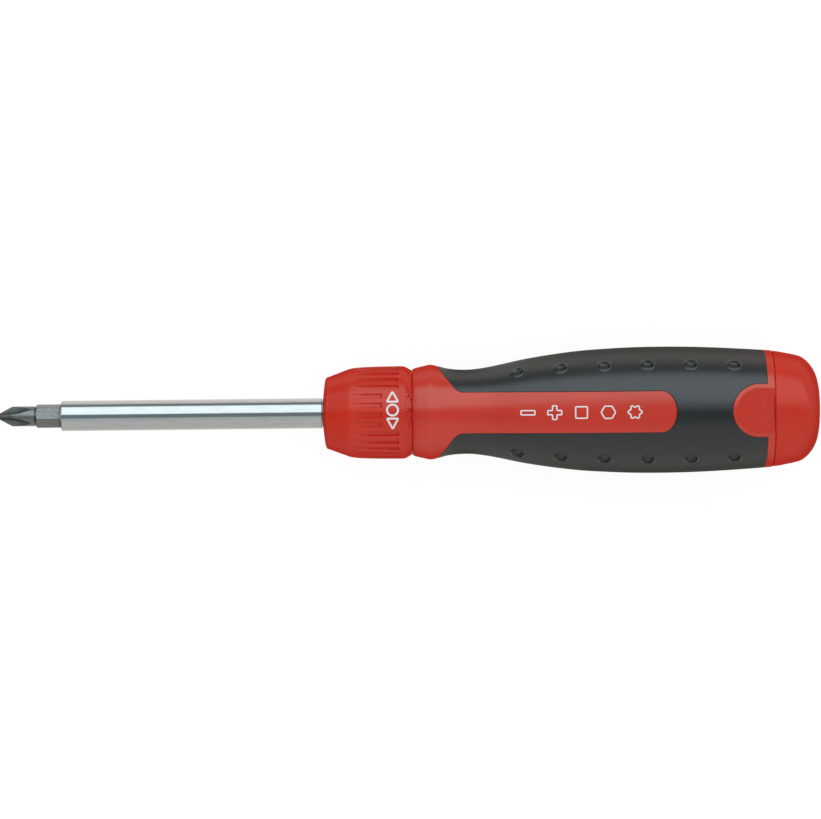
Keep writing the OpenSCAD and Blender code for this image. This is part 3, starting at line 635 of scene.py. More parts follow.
class Finishes:
    """The materials of the tool, each made once."""

    def __init__(self) -> None:
        """Makes every material."""
        # ABS, moulded in a polished tool: a crisp, strong highlight along the panels.
        self.red = self.abs("red_polished_abs", 0.26, 0.7)
        # The same resin from a fine-grained tool: an even half-gloss on the fluted sleeve.
        self.red_sleeve = self.abs("red_fine_grained_abs", 0.26, 0.48)
        # The same resin from a coarser tool: a broad, faint highlight for the palm.
        self.red_cap = self.abs("red_satin_abs", 0.31, 0.45)
        # Thermoplastic elastomer, moulded over the core: dull, with a cool broad highlight, and
        # near-black painted shade deep in its dimples and seams.
        self.rubber = Moulded(
            "black_overmoulded_elastomer", "101010", "0C0C0C", 0.3, 0.4, 0.008, ior=1.6,
            edge="42403C", edge_share=0.98, round_edge=True, crease="060606",
        ).material()
        # Acetal, machine-moulded and left plain: waxy, off-white.
        acetal = (0.45, 0.6, 0.003)
        self.acetal = Moulded("white_moulded_acetal", "D8D9D6", "CDCECB", *acetal).material()
        self.grey_acetal = Moulded("grey_moulded_acetal", "8C8F90", "7E8182", *acetal).material()
        # Pad-printed epoxy ink: a flat white film that shows the grain under it.
        self.ink = Moulded("white_pad_printed_ink", "E4E8EC", "DADEE3", 0.5, 0.3, 0.003).material()
        # Bright nickel on centreless-ground bar: clear bands, with faint streaks along the bar.
        self.nickel = Metal(
            "nickel_plated_ground_bar", "BABAB8", "B1B1B0", 0.09, 0.05, 0.8, 7, 0.0004
        ).material()
        # Manganese phosphate on tool steel: dark grey, even and slightly specked, with painted shade
        # deep in its flutes and grooves.
        self.bit_steel = Metal(
            "phosphated_tool_steel", "7E7F7B", "6F706D", 0.33, 0.1, 0.35, 3, 0.001, crease="6A6560"
        ).material()
        # Hardened steel, tumbled after heat treatment: mid grey, soft gloss.
        self.hardened = Metal(
            "tumbled_hardened_steel", "8E9193", "76797B", 0.32, 0.12, 0.5, 1, 0.002
        ).material()
        # Spring wire and strip, drawn bright: light and clean.
        self.spring = Metal(
            "drawn_spring_steel", "B8BBBC", "A2A5A6", 0.25, 0.08, 0.2, 8, 0.001
        ).material()
        # Zinc, pressure die-cast: dull, faintly mottled skin.
        self.zinc = Metal("die_cast_zinc", "9A9D9F", "85888A", 0.42, 0.12, 1.2, 1, 0.004).material()
        # Bearing bronze, sintered: warm, with fine dark pores.
        self.bronze = Metal(
            "sintered_bearing_bronze", "B48A5A", "8F6A42", 0.38, 0.14, 0.3, 1, 0.003
        ).material()

    @staticmethod
    def abs(name: str, roughness: float, gloss: float) -> Material:
        """Makes the red resin as one of the three tools leaves it.

        Args:
            name: Name of the material.
            roughness: Roughness of the skin.
            gloss: Strength of the highlight.

        Returns:
            The material.
        """
        # The crease colour is painted shade: a crimson deep in the seams and the grooves, where the
        # highlight is dimmed too.
        return Moulded(
            name, "C91F02", "C21C01", roughness, 0.5, 0.002, ior=1.52, gloss=gloss,
            edge="BE2818", edge_share=0.94, crease="D2042C", sheen="90FFF0",
        ).material()


# ---- Handle ----


class Face(Enum):
    """Sides of the handle, by the turn of their middle from +Z."""

    TOP = 0
    BOTTOM = 180


@dataclass
class Handle:
    """Two-part handle: a hard core with a soft grip moulded over it.

    Attributes:
        front: Station of the handle's front face.
        length: Length of the handle.
        belly_r: Largest radius.
        grip_front: Station where the grip starts.
        grip_rear: Station where the grip ends.
        wall: Thickness of the grip.
        panel_half: Half the width of the long panel.
        panel_flat: Fall of the panel's middle below the handle's round.
        lip, lip_r, lip_bore: Rise, radius and hole of the lip that closes the seam with the collar.
        rear_rim: Way that the rim behind the outline's end runs on.
        panel_rear: Station of the panel's round end.
        bridge: Station on the grip's bridge between the panel and the thumb tab.
        end_share: Length of the panel's round end over its half-width.
        funnel_angle: Slant of the funnel in which the panel opens.
        fillet: Radius between funnel and panel.
        tab_half, tab_length: Half-width of the thumb tab, and its length in front of the grip's
            end.
        flat_half, scoop_round: Half-width of the scoop in the tab, and the rounding of its edge.
        seat_gap: Gap between the grip and its seat on the core.
        stem_r, stem_end: Radius and end of the bore for the ratchet's stem.
        journal_r, journal_end: Radius and end of the hole for the shaft's journal.
        pocket_front, pocket_r: Front and radius of the pocket in front of the bay.
        bay_front, bay_rear, bay_r: Front, rear and radius of the keyed bay for the bit store.
        key_half, key_rise: Half the angle of a key in the bay, and its height.
        mouth_front, mouth_r: Front and radius of the seat of the stop ring.
        waist: Station in front of which the grip's columns close in with its edge.
        dimple_first, dimple_pitch, dimple_count: Station of the first row of dimples, pitch and
            number of rows.
        dimple_angle: Angle of the dimples from the middle of a panel, where the handle is thickest.
        dimple_turn: Angle by which the +Y side's dimples are turned back and the other's on.
        dimple_spread: Degrees added for each millimetre that the handle is thinner.
        dimple_reach: Half the side of the block of the grip that a dimple fills.
        dimple_depth, dimple_lip: Depth of a dimple's middle, and rise of its rim.
        grip_round, core_round: Rounding of the grip's edges, and of the core's beside them.
        front_round, rear_round: Rounding of the handle's front and rear edges.
        outline: Outline of the handle's round.
        x: Stations of the grip's rows.
    """

    front: float = 106.4
    length: float = 108.3
    belly_r: float = 19.125
    grip_front: float = 113.9
    grip_rear: float = 212.95
    wall: float = 2.0
    panel_half: float = 6.2
    panel_flat: float = 0.4
    lip: float = 0.12
    lip_r: float = 12.62
    lip_bore: float = 10
    rear_rim: float = 0.45
    panel_rear: float = 185.6
    bridge: float = 195
    end_share: float = 0.73
    funnel_angle: float = 52
    fillet: float = 4.1
    tab_half: float = 8.0
    tab_length: float = 10.6
    flat_half: float = 6.87
    scoop_round: float = 0.12
    seat_gap: float = 0.03
    stem_r: float = 8.33
    stem_end: float = 125
    journal_r: float = 5.5
    journal_end: float = 130.9
    pocket_front: float = 136.9
    pocket_r: float = 9
    bay_front: float = 166.7
    bay_rear: float = 210.6
    bay_r: float = 13.4
    key_half: float = 3.5
    key_rise: float = 1
    mouth_front: float = 211.57
    mouth_r: float = 15.0
    waist: float = 126.0
    dimple_first: float = 138.0
    dimple_pitch: float = 13.03
    dimple_count: int = 6
    dimple_angle: float = 48.5
    dimple_turn: float = 1.2
    dimple_spread: float = 1.3
    dimple_reach: float = 3.2
    dimple_depth: float = 0.82
    dimple_lip: float = 0.25
    grip_round: float = 0.2
    core_round: float = 0.1
    front_round: float = 0.35
    rear_round: float = 0.25
    outline: Outline = field(init=False)
    x: Array = field(init=False)

    # Columns of one side of the grip between which the first block of a dimple lies.
    BLOCK = (10, 22)
    # Radii of a dimple's rings: close where its rim turns.
    RINGS = (
        2.65, 2.52, 2.4, 2.28, 2.16, 2.05, 1.96, 1.9, 1.84, 1.77, 1.7, 1.6, 1.5, 1.36, 1.2, 1.03,
        0.6, 0,
    )  # fmt: skip
    SHARES = (
        (0, 0.685), (0.012, 0.706), (0.03, 0.7295), (0.05, 0.7515), (0.072, 0.727), (0.098, 0.69),
        (0.13, 0.67), (0.165, 0.67), (0.205, 0.699), (0.25, 0.749), (0.3, 0.8105), (0.355, 0.865),
        (0.41, 0.91), (0.47, 0.949), (0.54, 0.976), (0.61, 0.994), (0.69, 1), (0.77, 0.995),
        (0.85, 0.978), (0.925, 0.954), (1, 0.9255),
    )  # fmt: skip

    def __post_init__(self) -> None:
        """Works out the outline, the places along it and the stations of the grip's rows."""
        self.outline = Outline(self.SHARES, self.front, self.length, self.belly_r)
        self.rear = self.front + self.length + self.rear_rim
        rise = self.outline.r(self.grip_front) - self.panel_half
        self.meet = self.grip_front + rise / math.tan(math.radians(self.funnel_angle))
        self.bend_x = self.meet + self.fillet * math.tan(math.radians(self.funnel_angle / 2))
        self.end_rx = self.end_share * self.panel_half
        self.end_centre = self.panel_rear - self.end_rx
        self.tab_front = self.grip_rear - self.tab_length
        self.tab_centre = self.tab_front + self.tab_half
        self.dimple_x = self.dimple_first + self.dimple_pitch * np.arange(self.dimple_count)
        self.x = self.stations()

    def stations(self) -> Array:
        """Works out the rows of the grip, crowded where its edge turns and even across the dimples.

        Returns:
            Their stations.
        """
        funnel_end = self.bend_x - self.fillet * math.sin(math.radians(self.funnel_angle))
        apex = self.grip_front + (funnel_end - self.grip_front) * np.linspace(0, 1, 26) ** 2
        bend = np.linspace(funnel_end, self.bend_x, 14)
        turn = np.radians(np.linspace(0, 90, 18))
        panel_end = self.end_centre + self.end_rx * np.sin(turn)
        tab = self.tab_centre - self.tab_half * np.cos(turn)
        blocks = self.dimple_x[:, None] + self.dimple_reach * np.array([-1, 1])
        edges = ((self.panel_rear, 1), (self.tab_front, -1), (self.grip_rear, -1))
        close = [clustered(edge, inwards) for edge, inwards in edges]
        return filled(np.concatenate([apex, bend, panel_end, tab, blocks.ravel(), *close]), 0.62)

    def half_width(self, x: Array) -> Array:
        """Half-width of what the grip leaves bare: funnel, panel, bridge or tab.

        Args:
            x: Stations.

        Returns:
            The half-widths.
        """
        slant = math.tan(math.radians(self.funnel_angle))
        bend_from = self.bend_x - self.fillet * math.sin(math.radians(self.funnel_angle))
        arc = self.fillet**2 - np.clip(x - self.bend_x, -self.fillet, 0) ** 2
        end = 1 - (np.clip(x - self.end_centre, 0, self.end_rx) / self.end_rx) ** 2
        tab = self.tab_half**2 - np.clip(self.tab_centre - x, 0, self.tab_half) ** 2
        return np.select(
            [x < bend_from, x < self.bend_x, x <= self.panel_rear, x < self.tab_front],
            [
                self.panel_half + (self.meet - x) * slant,
                self.panel_half + self.fillet - np.sqrt(arc),
                self.panel_half * np.sqrt(end),
                0 * x,
            ],
            np.sqrt(tab),
        )

    def edge_angle(self, x: Array) -> Array:
        """Angle phi of the grip's edge at a station, from the middle of the panel."""
        return np.degrees(np.arcsin(np.clip(self.half_width(x) / self.outline.r(x), 0, 1)))

    def edge_distance(self, x: Array, phi: Array) -> Array:
        """Distance along the surface from the grip's edge, positive on the grip.

        It is F / |grad F|, where F is |y| − half-width beside the panel, and the ellipse's
        or the circle's own equation at the panel's round end and at the thumb tab.

        Args:
            x: Stations.
            phi: Angles, from the middle of the top or bottom panel.

        Returns:
            The distances.
        """
        r = self.outline.r(x)
        y, turn = np.abs(r * np.sin(np.radians(phi))), np.abs(np.cos(np.radians(phi)))
        side = y - self.half_width(x)
        slope = (self.half_width(x + 0.02) - self.half_width(x - 0.02)) / 0.04
        beside = side / np.sqrt(turn**2 + slope**2 + 1e-4)
        u, v = (x - self.end_centre) / self.end_rx, y / self.panel_half
        size = 2 * np.sqrt((u / self.end_rx) ** 2 + (v * np.maximum(turn, 0.2) / self.panel_half) ** 2)
        round_end = (u * u + v * v - 1) / np.maximum(size, 1e-3)
        out = np.hypot(np.minimum(x - self.tab_centre, 0), y)
        tab = (out - self.tab_half) / np.maximum(turn, 0.3)
        rear = self.grip_rear - x
        near = np.where(x < self.end_centre, beside, round_end)
        return np.where(x > self.bridge, np.minimum(tab, rear), near)

    def row_angle(self, x: Array | float, side: int) -> Array:
        """Angle of a row of dimples from the middle of its panel, on the +Y side for -1."""
        spread = self.dimple_spread * (self.belly_r - self.outline.r(x))
        return self.dimple_angle + side * self.dimple_turn + spread

    def side_columns(self) -> Array:
        """Angles of the grip's columns on one side, of shape (rows, columns).

        From the edge they go in a few close steps, then evenly to the dimples, in 12 even
        steps across them, evenly over the side, and back in the same way. In front of the
        waist the same shares of the side are kept while the edge closes in on it.

        Returns:
            The angles, from the middle of the panel.
        """
        x = np.maximum(self.x, self.waist)[:, None]
        r, edge = self.outline.r(x), self.edge_angle(x)
        close = edge + np.degrees(np.array(CLOSE) / r)
        reach = np.degrees(self.dimple_reach / r)
        halves = []
        for side in (-1, 1):
            middle = self.row_angle(x, side)
            start, stop = middle - reach, middle + reach
            rise = close[:, -1:] + (start - close[:, -1:]) * np.arange(1, 6) / 6
            block = start + (stop - start) * np.arange(13) / 12
            over = stop + (90 - stop) * np.arange(1, 9) / 8
            halves.append(np.concatenate([close, rise, block, over], 1))
        full = np.concatenate([halves[0], 180 - halves[1][:, -2::-1]], 1)
        share = (full - edge) / (180 - 2 * edge)
        own = self.edge_angle(self.x)[:, None]
        return own + share * (180 - 2 * own)

    def grip_points(self, x: Array, phi: Array, rise: Array | float = 0) -> Array:
        """Points of the grip's surface, moved out along its normal.

        Args:
            x: Stations.
            phi: Angles, from the middle of a panel.
            rise: Way out from the surface.

        Returns:
            The points.
        """
        r = self.outline.r(x)
        lean = self.outline.lean(x)
        out = (rise - edge_drop(self.edge_distance(x, phi), self.grip_round)) / np.sqrt(1 + lean**2)
        return around(x - out * lean, r + out, phi)

    def bowl(self, rho: Array) -> Array:
        """Height of a dimple at a distance rho from its middle.

        The floor and its wall are 0.1ρ² − depth + (depth + lip − 0.36)·S(1.05, 1.92), and the
        lip's outer flank is lip·(1 − S(1.82, 2.42)), with S the smoothstep of ρ: 0.36 is what the
        first term has risen by at the rim. The corner between the two is rounded.

        Args:
            rho: Distances from the dimple's middle.

        Returns:
            The heights.
        """
        depth, lip = self.dimple_depth, self.dimple_lip
        wall = 0.1 * rho**2 - depth + (depth + lip - 0.36) * smoothstep(1.05, 1.92, rho)
        flank = lip * (1 - smoothstep(1.82, 2.42, rho))
        return soft_min(wall, flank, 0.05)

    def dimple(
        self, shell: Shell, x: Array, phi: Array, centre_x: float, centre_phi: float, turn: float
    ) -> None:
        """Fills an open block of the grip with the rings of a dimple.

        The floor is nearer to level with the panel than with the round, as the mould pulls off
        straight, so it rises outwards by a tenth.

        Args:
            shell: Shell that gets the rings.
            x: Stations of the block's rim, in order round it.
            phi: Angles of the block's rim, in the same order.
            centre_x: Station of the dimple's middle.
            centre_phi: Angle of the dimple's middle.
            turn: Turn of the whole side, for the other half of the handle.
        """
        r = float(self.outline.r(centre_x))
        rim = np.stack([x - centre_x, np.radians(phi - centre_phi) * r], -1)
        spoke = rim / np.linalg.norm(rim, axis=1)[:, None]
        shares = np.array([0, 0.3, 0.6, 0.85])[:, None, None]
        outside = rim * (1 - shares) + spoke * self.RINGS[0] * shares
        flat = np.concatenate([outside, spoke * np.array(self.RINGS)[:, None, None]])
        rho = np.hypot(flat[..., 0], flat[..., 1])
        outward = flat[..., 1] * (1 if centre_phi < 90 else -1)
        rise = self.bowl(rho) + 0.1 * outward * (1 - smoothstep(0.8, 1.8, rho))
        px, pp = centre_x + flat[..., 0], centre_phi + np.degrees(flat[..., 1] / r)
        shell.grid(self.turned(self.grip_points(px, pp, rise), turn))

    @staticmethod
    def turned(points: Array, turn: float) -> Array:
        """Points turned about the tool's axis.

        Args:
            points: Points whose last dimension is the coordinate.
            turn: Degrees by which phi grows.

        Returns:
            The turned points.
        """
        c, s = math.cos(math.radians(turn)), math.sin(math.radians(turn))
        x, y, z = points[..., 0], points[..., 1], points[..., 2]
        return np.stack([x, y * c + z * s, z * c - y * s], -1)

    def soft_grip(self, finish: Material) -> Object:
        """Builds the overmoulded grip.

        Each side is a grid between the grip's edges above and below, with its dimples as
        rings in the grid; walls go down to an inner surface two millimetres below.

        Args:
            finish: Material of the grip.

        Returns:
            The grip.
        """
        shell = Shell("soft_grip_overmould")
        phi = self.side_columns()
        x = np.broadcast_to(self.x[:, None], phi.shape)
        first, last = self.BLOCK
        count = phi.shape[1] - 1
        skip = np.zeros((len(self.x) - 1, count), bool)
        loops = []
        for centre in self.dimple_x:
            a = int(np.argmin(np.abs(self.x - centre + self.dimple_reach)))
            b = int(np.argmin(np.abs(self.x - centre - self.dimple_reach)))
            for c, d in ((first, last), (count - last, count - first)):
                skip[a:b, c:d] = True
                rows = [*range(a, b), *[b] * (d - c), *range(b, a, -1), *[a] * (d - c), a]
                columns = [*[c] * (b - a), *range(c, d), *[d] * (b - a), *range(d, c, -1), c]
                loops.append((float(centre), x[rows, columns], phi[rows, columns], c > first))
        kept = np.unique(np.append(np.arange(0, count + 1, 4), count))
        nearest = kept[np.abs(kept - np.arange(count + 1)[:, None]).argmin(1)]
        under = around(x, self.outline.r(x) - self.wall, phi)
        outer = self.grip_points(x, phi)
        open_rows = self.open_rows()
        for turn in (0, 180):
            shell.grid(self.turned(outer, turn), skip)
            shell.grid(self.turned(under[:, kept], turn))
            shell.grid(self.turned(np.stack([outer[-1], under[-1, nearest]]), turn))
            for rows in open_rows:
                for column in (0, -1):
                    wall = np.stack([outer[rows, column], under[rows, column]])
                    shell.grid(self.turned(wall, turn))
            for centre, rim_x, rim_phi, low in loops:
                own = 180 - self.row_angle(centre, 1) if low else self.row_angle(centre, -1)
                self.dimple(shell, rim_x, rim_phi, centre, float(own), turn)
        made = shell.solid("handle", finish, 50)
        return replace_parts(made, "soft_grip")

    def open_rows(self) -> tuple[slice, slice]:
        """Rows of the grip beside the panel, and those beside the thumb tab."""
        panel, tab = (int(np.argmin(np.abs(self.x - x))) for x in (self.panel_rear, self.tab_front))
        return slice(0, panel + 1), slice(tab, len(self.x))

    def core_fall(self, x: Array, phi: Array) -> Array:
        """Fall of the core's surface at its rounded edges, for the front ring and the panels.

        In front of the grip the distance to the grip's edge grows by the way along the axis.

        Args:
            x: Stations.
            phi: Angles, from the middle of the top or bottom panel.

        Returns:
            The falls.
        """
        inside = -self.edge_distance(np.maximum(x, self.grip_front), phi)
        inside = inside + np.maximum(self.grip_front - x, 0)
        edges = edge_drop(inside, self.core_round) + edge_drop(x - self.front, self.front_round)
        return edges + self.flatness(x, phi)

    def flatness(self, x: Array, phi: Array) -> Array:
        """Fall of a panel's middle below the round, none at its edges and before the grip."""
        across = 1 - np.minimum(np.abs(np.radians(phi)) * self.outline.r(x) / self.panel_half, 1) ** 2
        return self.panel_flat * across * smoothstep(self.grip_front - 2, self.grip_front + 6, x)

    def tab(self, x: Array) -> Array:
        """Points of the thumb tab, whose rows run round a D and whose columns go outwards.

        At a distance rho from the middle of the D the height is the lower of the handle's
        round surface, √(r² − y²), and of the scoop, which is flat across and deepens from its
        front so that it meets the round along a smaller D: it lies at √(r² − d²), d being half
        the width of that D at the station. The edge between them is a little rounded.

        Args:
            x: Stations of the grip's edge beside the tab, and on to the handle's end.

        Returns:
            Grid of points, from the rear of the +Y side round to the rear of the -Y side.
        """
        rho = np.array(
            [0, 0.98, 1.035, 1.8, 2.8, 3.8, 4.8, 5.6, 6.1, 6.4, 6.6, 6.72, 6.8, 6.87, 6.94]
            + [7.02, 7.14, 7.3, 7.5, 7.7, 7.8, 7.87, 7.92, 7.96, 8]
        )
        lean = np.arccos(np.clip((self.tab_centre - x) / self.tab_half, 0, 1))[:, None]
        px = np.where(x[:, None] < self.tab_centre, self.tab_centre - rho * np.cos(lean), x[:, None])
        py = np.where(x[:, None] < self.tab_centre, rho * np.sin(lean), rho + 0 * px)
        ahead = np.clip(self.tab_centre - px, 0, self.flat_half)
        scoop = np.sqrt(self.outline.r(px) ** 2 - (self.flat_half**2 - ahead**2))
        pz = soft_min(np.sqrt(self.outline.r(px) ** 2 - py**2), scoop, self.scoop_round)
        inside = np.hypot(np.maximum(px - self.grip_rear, 0), self.tab_half - rho)
        fall = edge_drop(inside, self.core_round) + edge_drop(self.rear - px, self.rear_round)
        scale = 1 - fall / np.hypot(py, pz)
        near = np.stack([px, py * scale, pz * scale], -1)
        return np.concatenate([near[::-1], near[1:] * [1, -1, 1]])

    def hard_core(self, finish: Material) -> Object:
        """Builds the hard core, which shows in the front and rear rings, the panels and the tabs.

        Args:
            finish: Material of the core.

        Returns:
            The core.
        """
        shell = Shell("handle_core_moulding")
        seat_r = self.outline.r(self.x) - self.wall - self.seat_gap
        edge = self.edge_angle(self.x)
        panel_rows, tab_rows = self.open_rows()
        close = 1 - np.array(CLOSE) / self.panel_half
        share = np.concatenate([-close, np.linspace(-close[-1], close[-1], 31)[1:-1], close[::-1]])
        x = self.x[panel_rows, None]
        phi = share * edge[panel_rows, None]
        panel = around(x, self.outline.r(x) - self.core_fall(x, phi), phi)
        ends = clustered(self.front, 1, (0, 0.03, 0.1, 0.2, 0.35)) + clustered(self.grip_front, -1)
        ring_x = filled(ends, 0.45)[:, None]
        ring_phi = np.broadcast_to(90 * share, (len(ring_x), len(share)))
        ring = around(ring_x, self.outline.r(ring_x) - self.core_fall(ring_x, ring_phi), ring_phi)
        lip_x = self.front - self.lip
        front_cup = rounded(
            [
                (self.front, self.lip_r), (lip_x, self.lip_r), (lip_x, self.lip_bore),
                (self.front, self.lip_bore), (self.front, self.stem_r), (self.stem_end, self.stem_r),
                (self.stem_end, self.journal_r), (self.journal_end, self.journal_r),
                (self.journal_end, 0),
            ],
            [0, 0, 0, 0, 0.3, 0.1, 0.2, 0.1, 0],
        )  # fmt: skip
        cup = around(front_cup[:, :1], front_cup[:, 1:], 90 * share[None])
        ends = clustered(self.grip_rear, 1) + clustered(self.rear, -1, (0, 0.03, 0.08, 0.15, 0.25))
        rear_x = filled(ends, 0.5)
        tab_x = np.concatenate([self.x[tab_rows], rear_x[1:]])
        tab = self.tab(tab_x)
        spread = np.linspace(0, 1, 25)
        half = np.degrees(np.arcsin(self.tab_half / self.outline.r(rear_x)))[:, None]
        rear_phi = half + spread * (180 - 2 * half)
        rear_fall = edge_drop(rear_x - self.grip_rear, self.core_round)
        rear_fall += edge_drop(self.rear - rear_x, self.rear_round)
        rear_ring = around(rear_x[:, None], (self.outline.r(rear_x) - rear_fall)[:, None], rear_phi)
        seat_phi = edge[:, None] + spread * (180 - 2 * edge[:, None])
        seat = around(self.x[:, None], seat_r[:, None], seat_phi)
        loop = np.concatenate([tab[-1, ::-1], tab[0, 1:], rear_ring[-1, 1:]])
        loop_phi = np.degrees(np.arctan2(loop[:, 1], loop[:, 2]))
        loop_phi = np.where(loop_phi < -60, loop_phi + 360, loop_phi)
        key_r = self.bay_r - self.key_rise * (np.abs(loop_phi) < self.key_half)
        bay = [
            (self.rear, self.mouth_r + 0.15), (self.rear - 0.15, self.mouth_r),
            (self.mouth_front, self.mouth_r), (self.mouth_front, self.bay_r),
            (self.bay_rear, self.bay_r), (self.bay_rear, key_r), (self.bay_front, key_r),
            (self.bay_front, self.pocket_r), (self.pocket_front, self.pocket_r),
            (self.pocket_front, 0),
        ]  # fmt: skip
        inside = np.stack([loop] + [around(a, b, loop_phi) for a, b in bay])
        inner_edge = around(self.x, seat_r, edge)
        tab_count = tab_rows.stop - tab_rows.start
        for face in Face:
            turn = face.value
            for patch in (panel, ring, rear_ring, seat, inside, tab, cup):
                shell.grid(self.turned(patch, turn))
            shell.grid(self.turned(np.stack([ring[0], cup[0]]), turn))
            shell.grid(self.turned(np.stack([rear_ring[0], seat[-1]]), turn))
            for flip in (1, -1):
                side = np.array([1, flip, 1])
                outer = panel[:, -1 if flip > 0 else 0]
                shell.grid(self.turned(np.stack([outer, inner_edge[panel_rows] * side]), turn))
                rim = tab[::-1][len(rear_x) - 1 :] if flip < 0 else tab[len(rear_x) - 1 :]
                outer = rim[:tab_count, -1][::-1]
                shell.grid(self.turned(np.stack([outer, inner_edge[tab_rows] * side]), turn))
        made = shell.solid("handle", finish, 50)
        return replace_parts(made, "handle_core")


# ---- Printed marks ----


def closed_path(corners: Path, radius: float, step: float) -> Array:
    """Closed path through corners, rounded and divided into even steps.

    Args:
        corners: Corners, in order.
        radius: Reach of the rounding on either side of a corner.
        step: Length of a step.

    Returns:
        Points of the path; the last isn't the first again.
    """
    ring = [tuple((np.array(corners[0]) + np.array(corners[-1])) / 2), *corners]
    path = rounded([*ring, ring[0]], radius, 6)
    along = np.append(0, np.cumsum(np.linalg.norm(np.diff(path, axis=0), axis=1)))
    at = np.linspace(0, along[-1], max(int(along[-1] / step), 12), endpoint=False)
    return np.stack([np.interp(at, along, path[:, 0]), np.interp(at, along, path[:, 1])], -1)


def regular(count: int, radius: float, turn: float = 0) -> Path:
    """Corners (R·cos a, R·sin a) of a regular polygon."""
    a = np.radians(turn + 360 / count * np.arange(count))
    return [tuple(p) for p in np.stack([radius * np.cos(a), radius * np.sin(a)], -1).tolist()]


class Carrier:
    """Surface that printed marks lie on: u runs along the axis and v towards +Y."""

    def __init__(
        self,
        outline: Outline,
        x: float,
        phi: float,
        fall: Callable[[Array, Array], Array] | None = None,
    ) -> None:
        """Takes the outline that carries the marks.

        Args:
            outline: Outline of the carrier.
            x: Station of u = 0.
            phi: Angle of v = 0.
            fall: Fall of the surface below the outline at stations and angles, where it has one.
        """
        self.outline, self.x, self.phi, self.fall = outline, x, phi, fall

    def points(self, u: Array, v: Array, lift: Array) -> Array:
        """Points (x + u, phi + v/r), lifted off the surface.

        Args:
            u: Ways along the axis.
            v: Ways round it.
            lift: Heights over the surface.

        Returns:
            The points.
        """
        r = self.outline.r(self.x + u)
        phi = self.phi + np.degrees(v / r)
        low = 0 if self.fall is None else self.fall(self.x + u, phi)
        return around(self.x + u, r - low + lift, phi)


def stroke(shell: Shell, path: Array, width: float, carrier: Carrier) -> None:
    """Adds a closed line of ink: a thin ribbon that follows the path on its carrier.

    Args:
        shell: Shell that gets the ribbon.
        path: Points [u, v] of the closed path.
        width: Width of the line.
        carrier: Surface that carries it.
    """
    ahead = np.roll(path, -1, 0) - np.roll(path, 1, 0)
    across = np.stack([-ahead[:, 1], ahead[:, 0]], -1) / np.linalg.norm(ahead, axis=1)[:, None]
    offset = width / 2 * np.array([-1, -0.9, 0, 0.9, 1, 0.9, -0.9, -1])
    lift = np.array([0.0, 0.03, 0.035, 0.03, 0.0, -0.06, -0.06, 0.0])
    line = path[:, None] + across[:, None] * offset[None, :, None]
    points = carrier.points(line[..., 0], line[..., 1], lift)
    shell.grid(np.concatenate([points, points[:1]]))


# ---- Selector collar ----


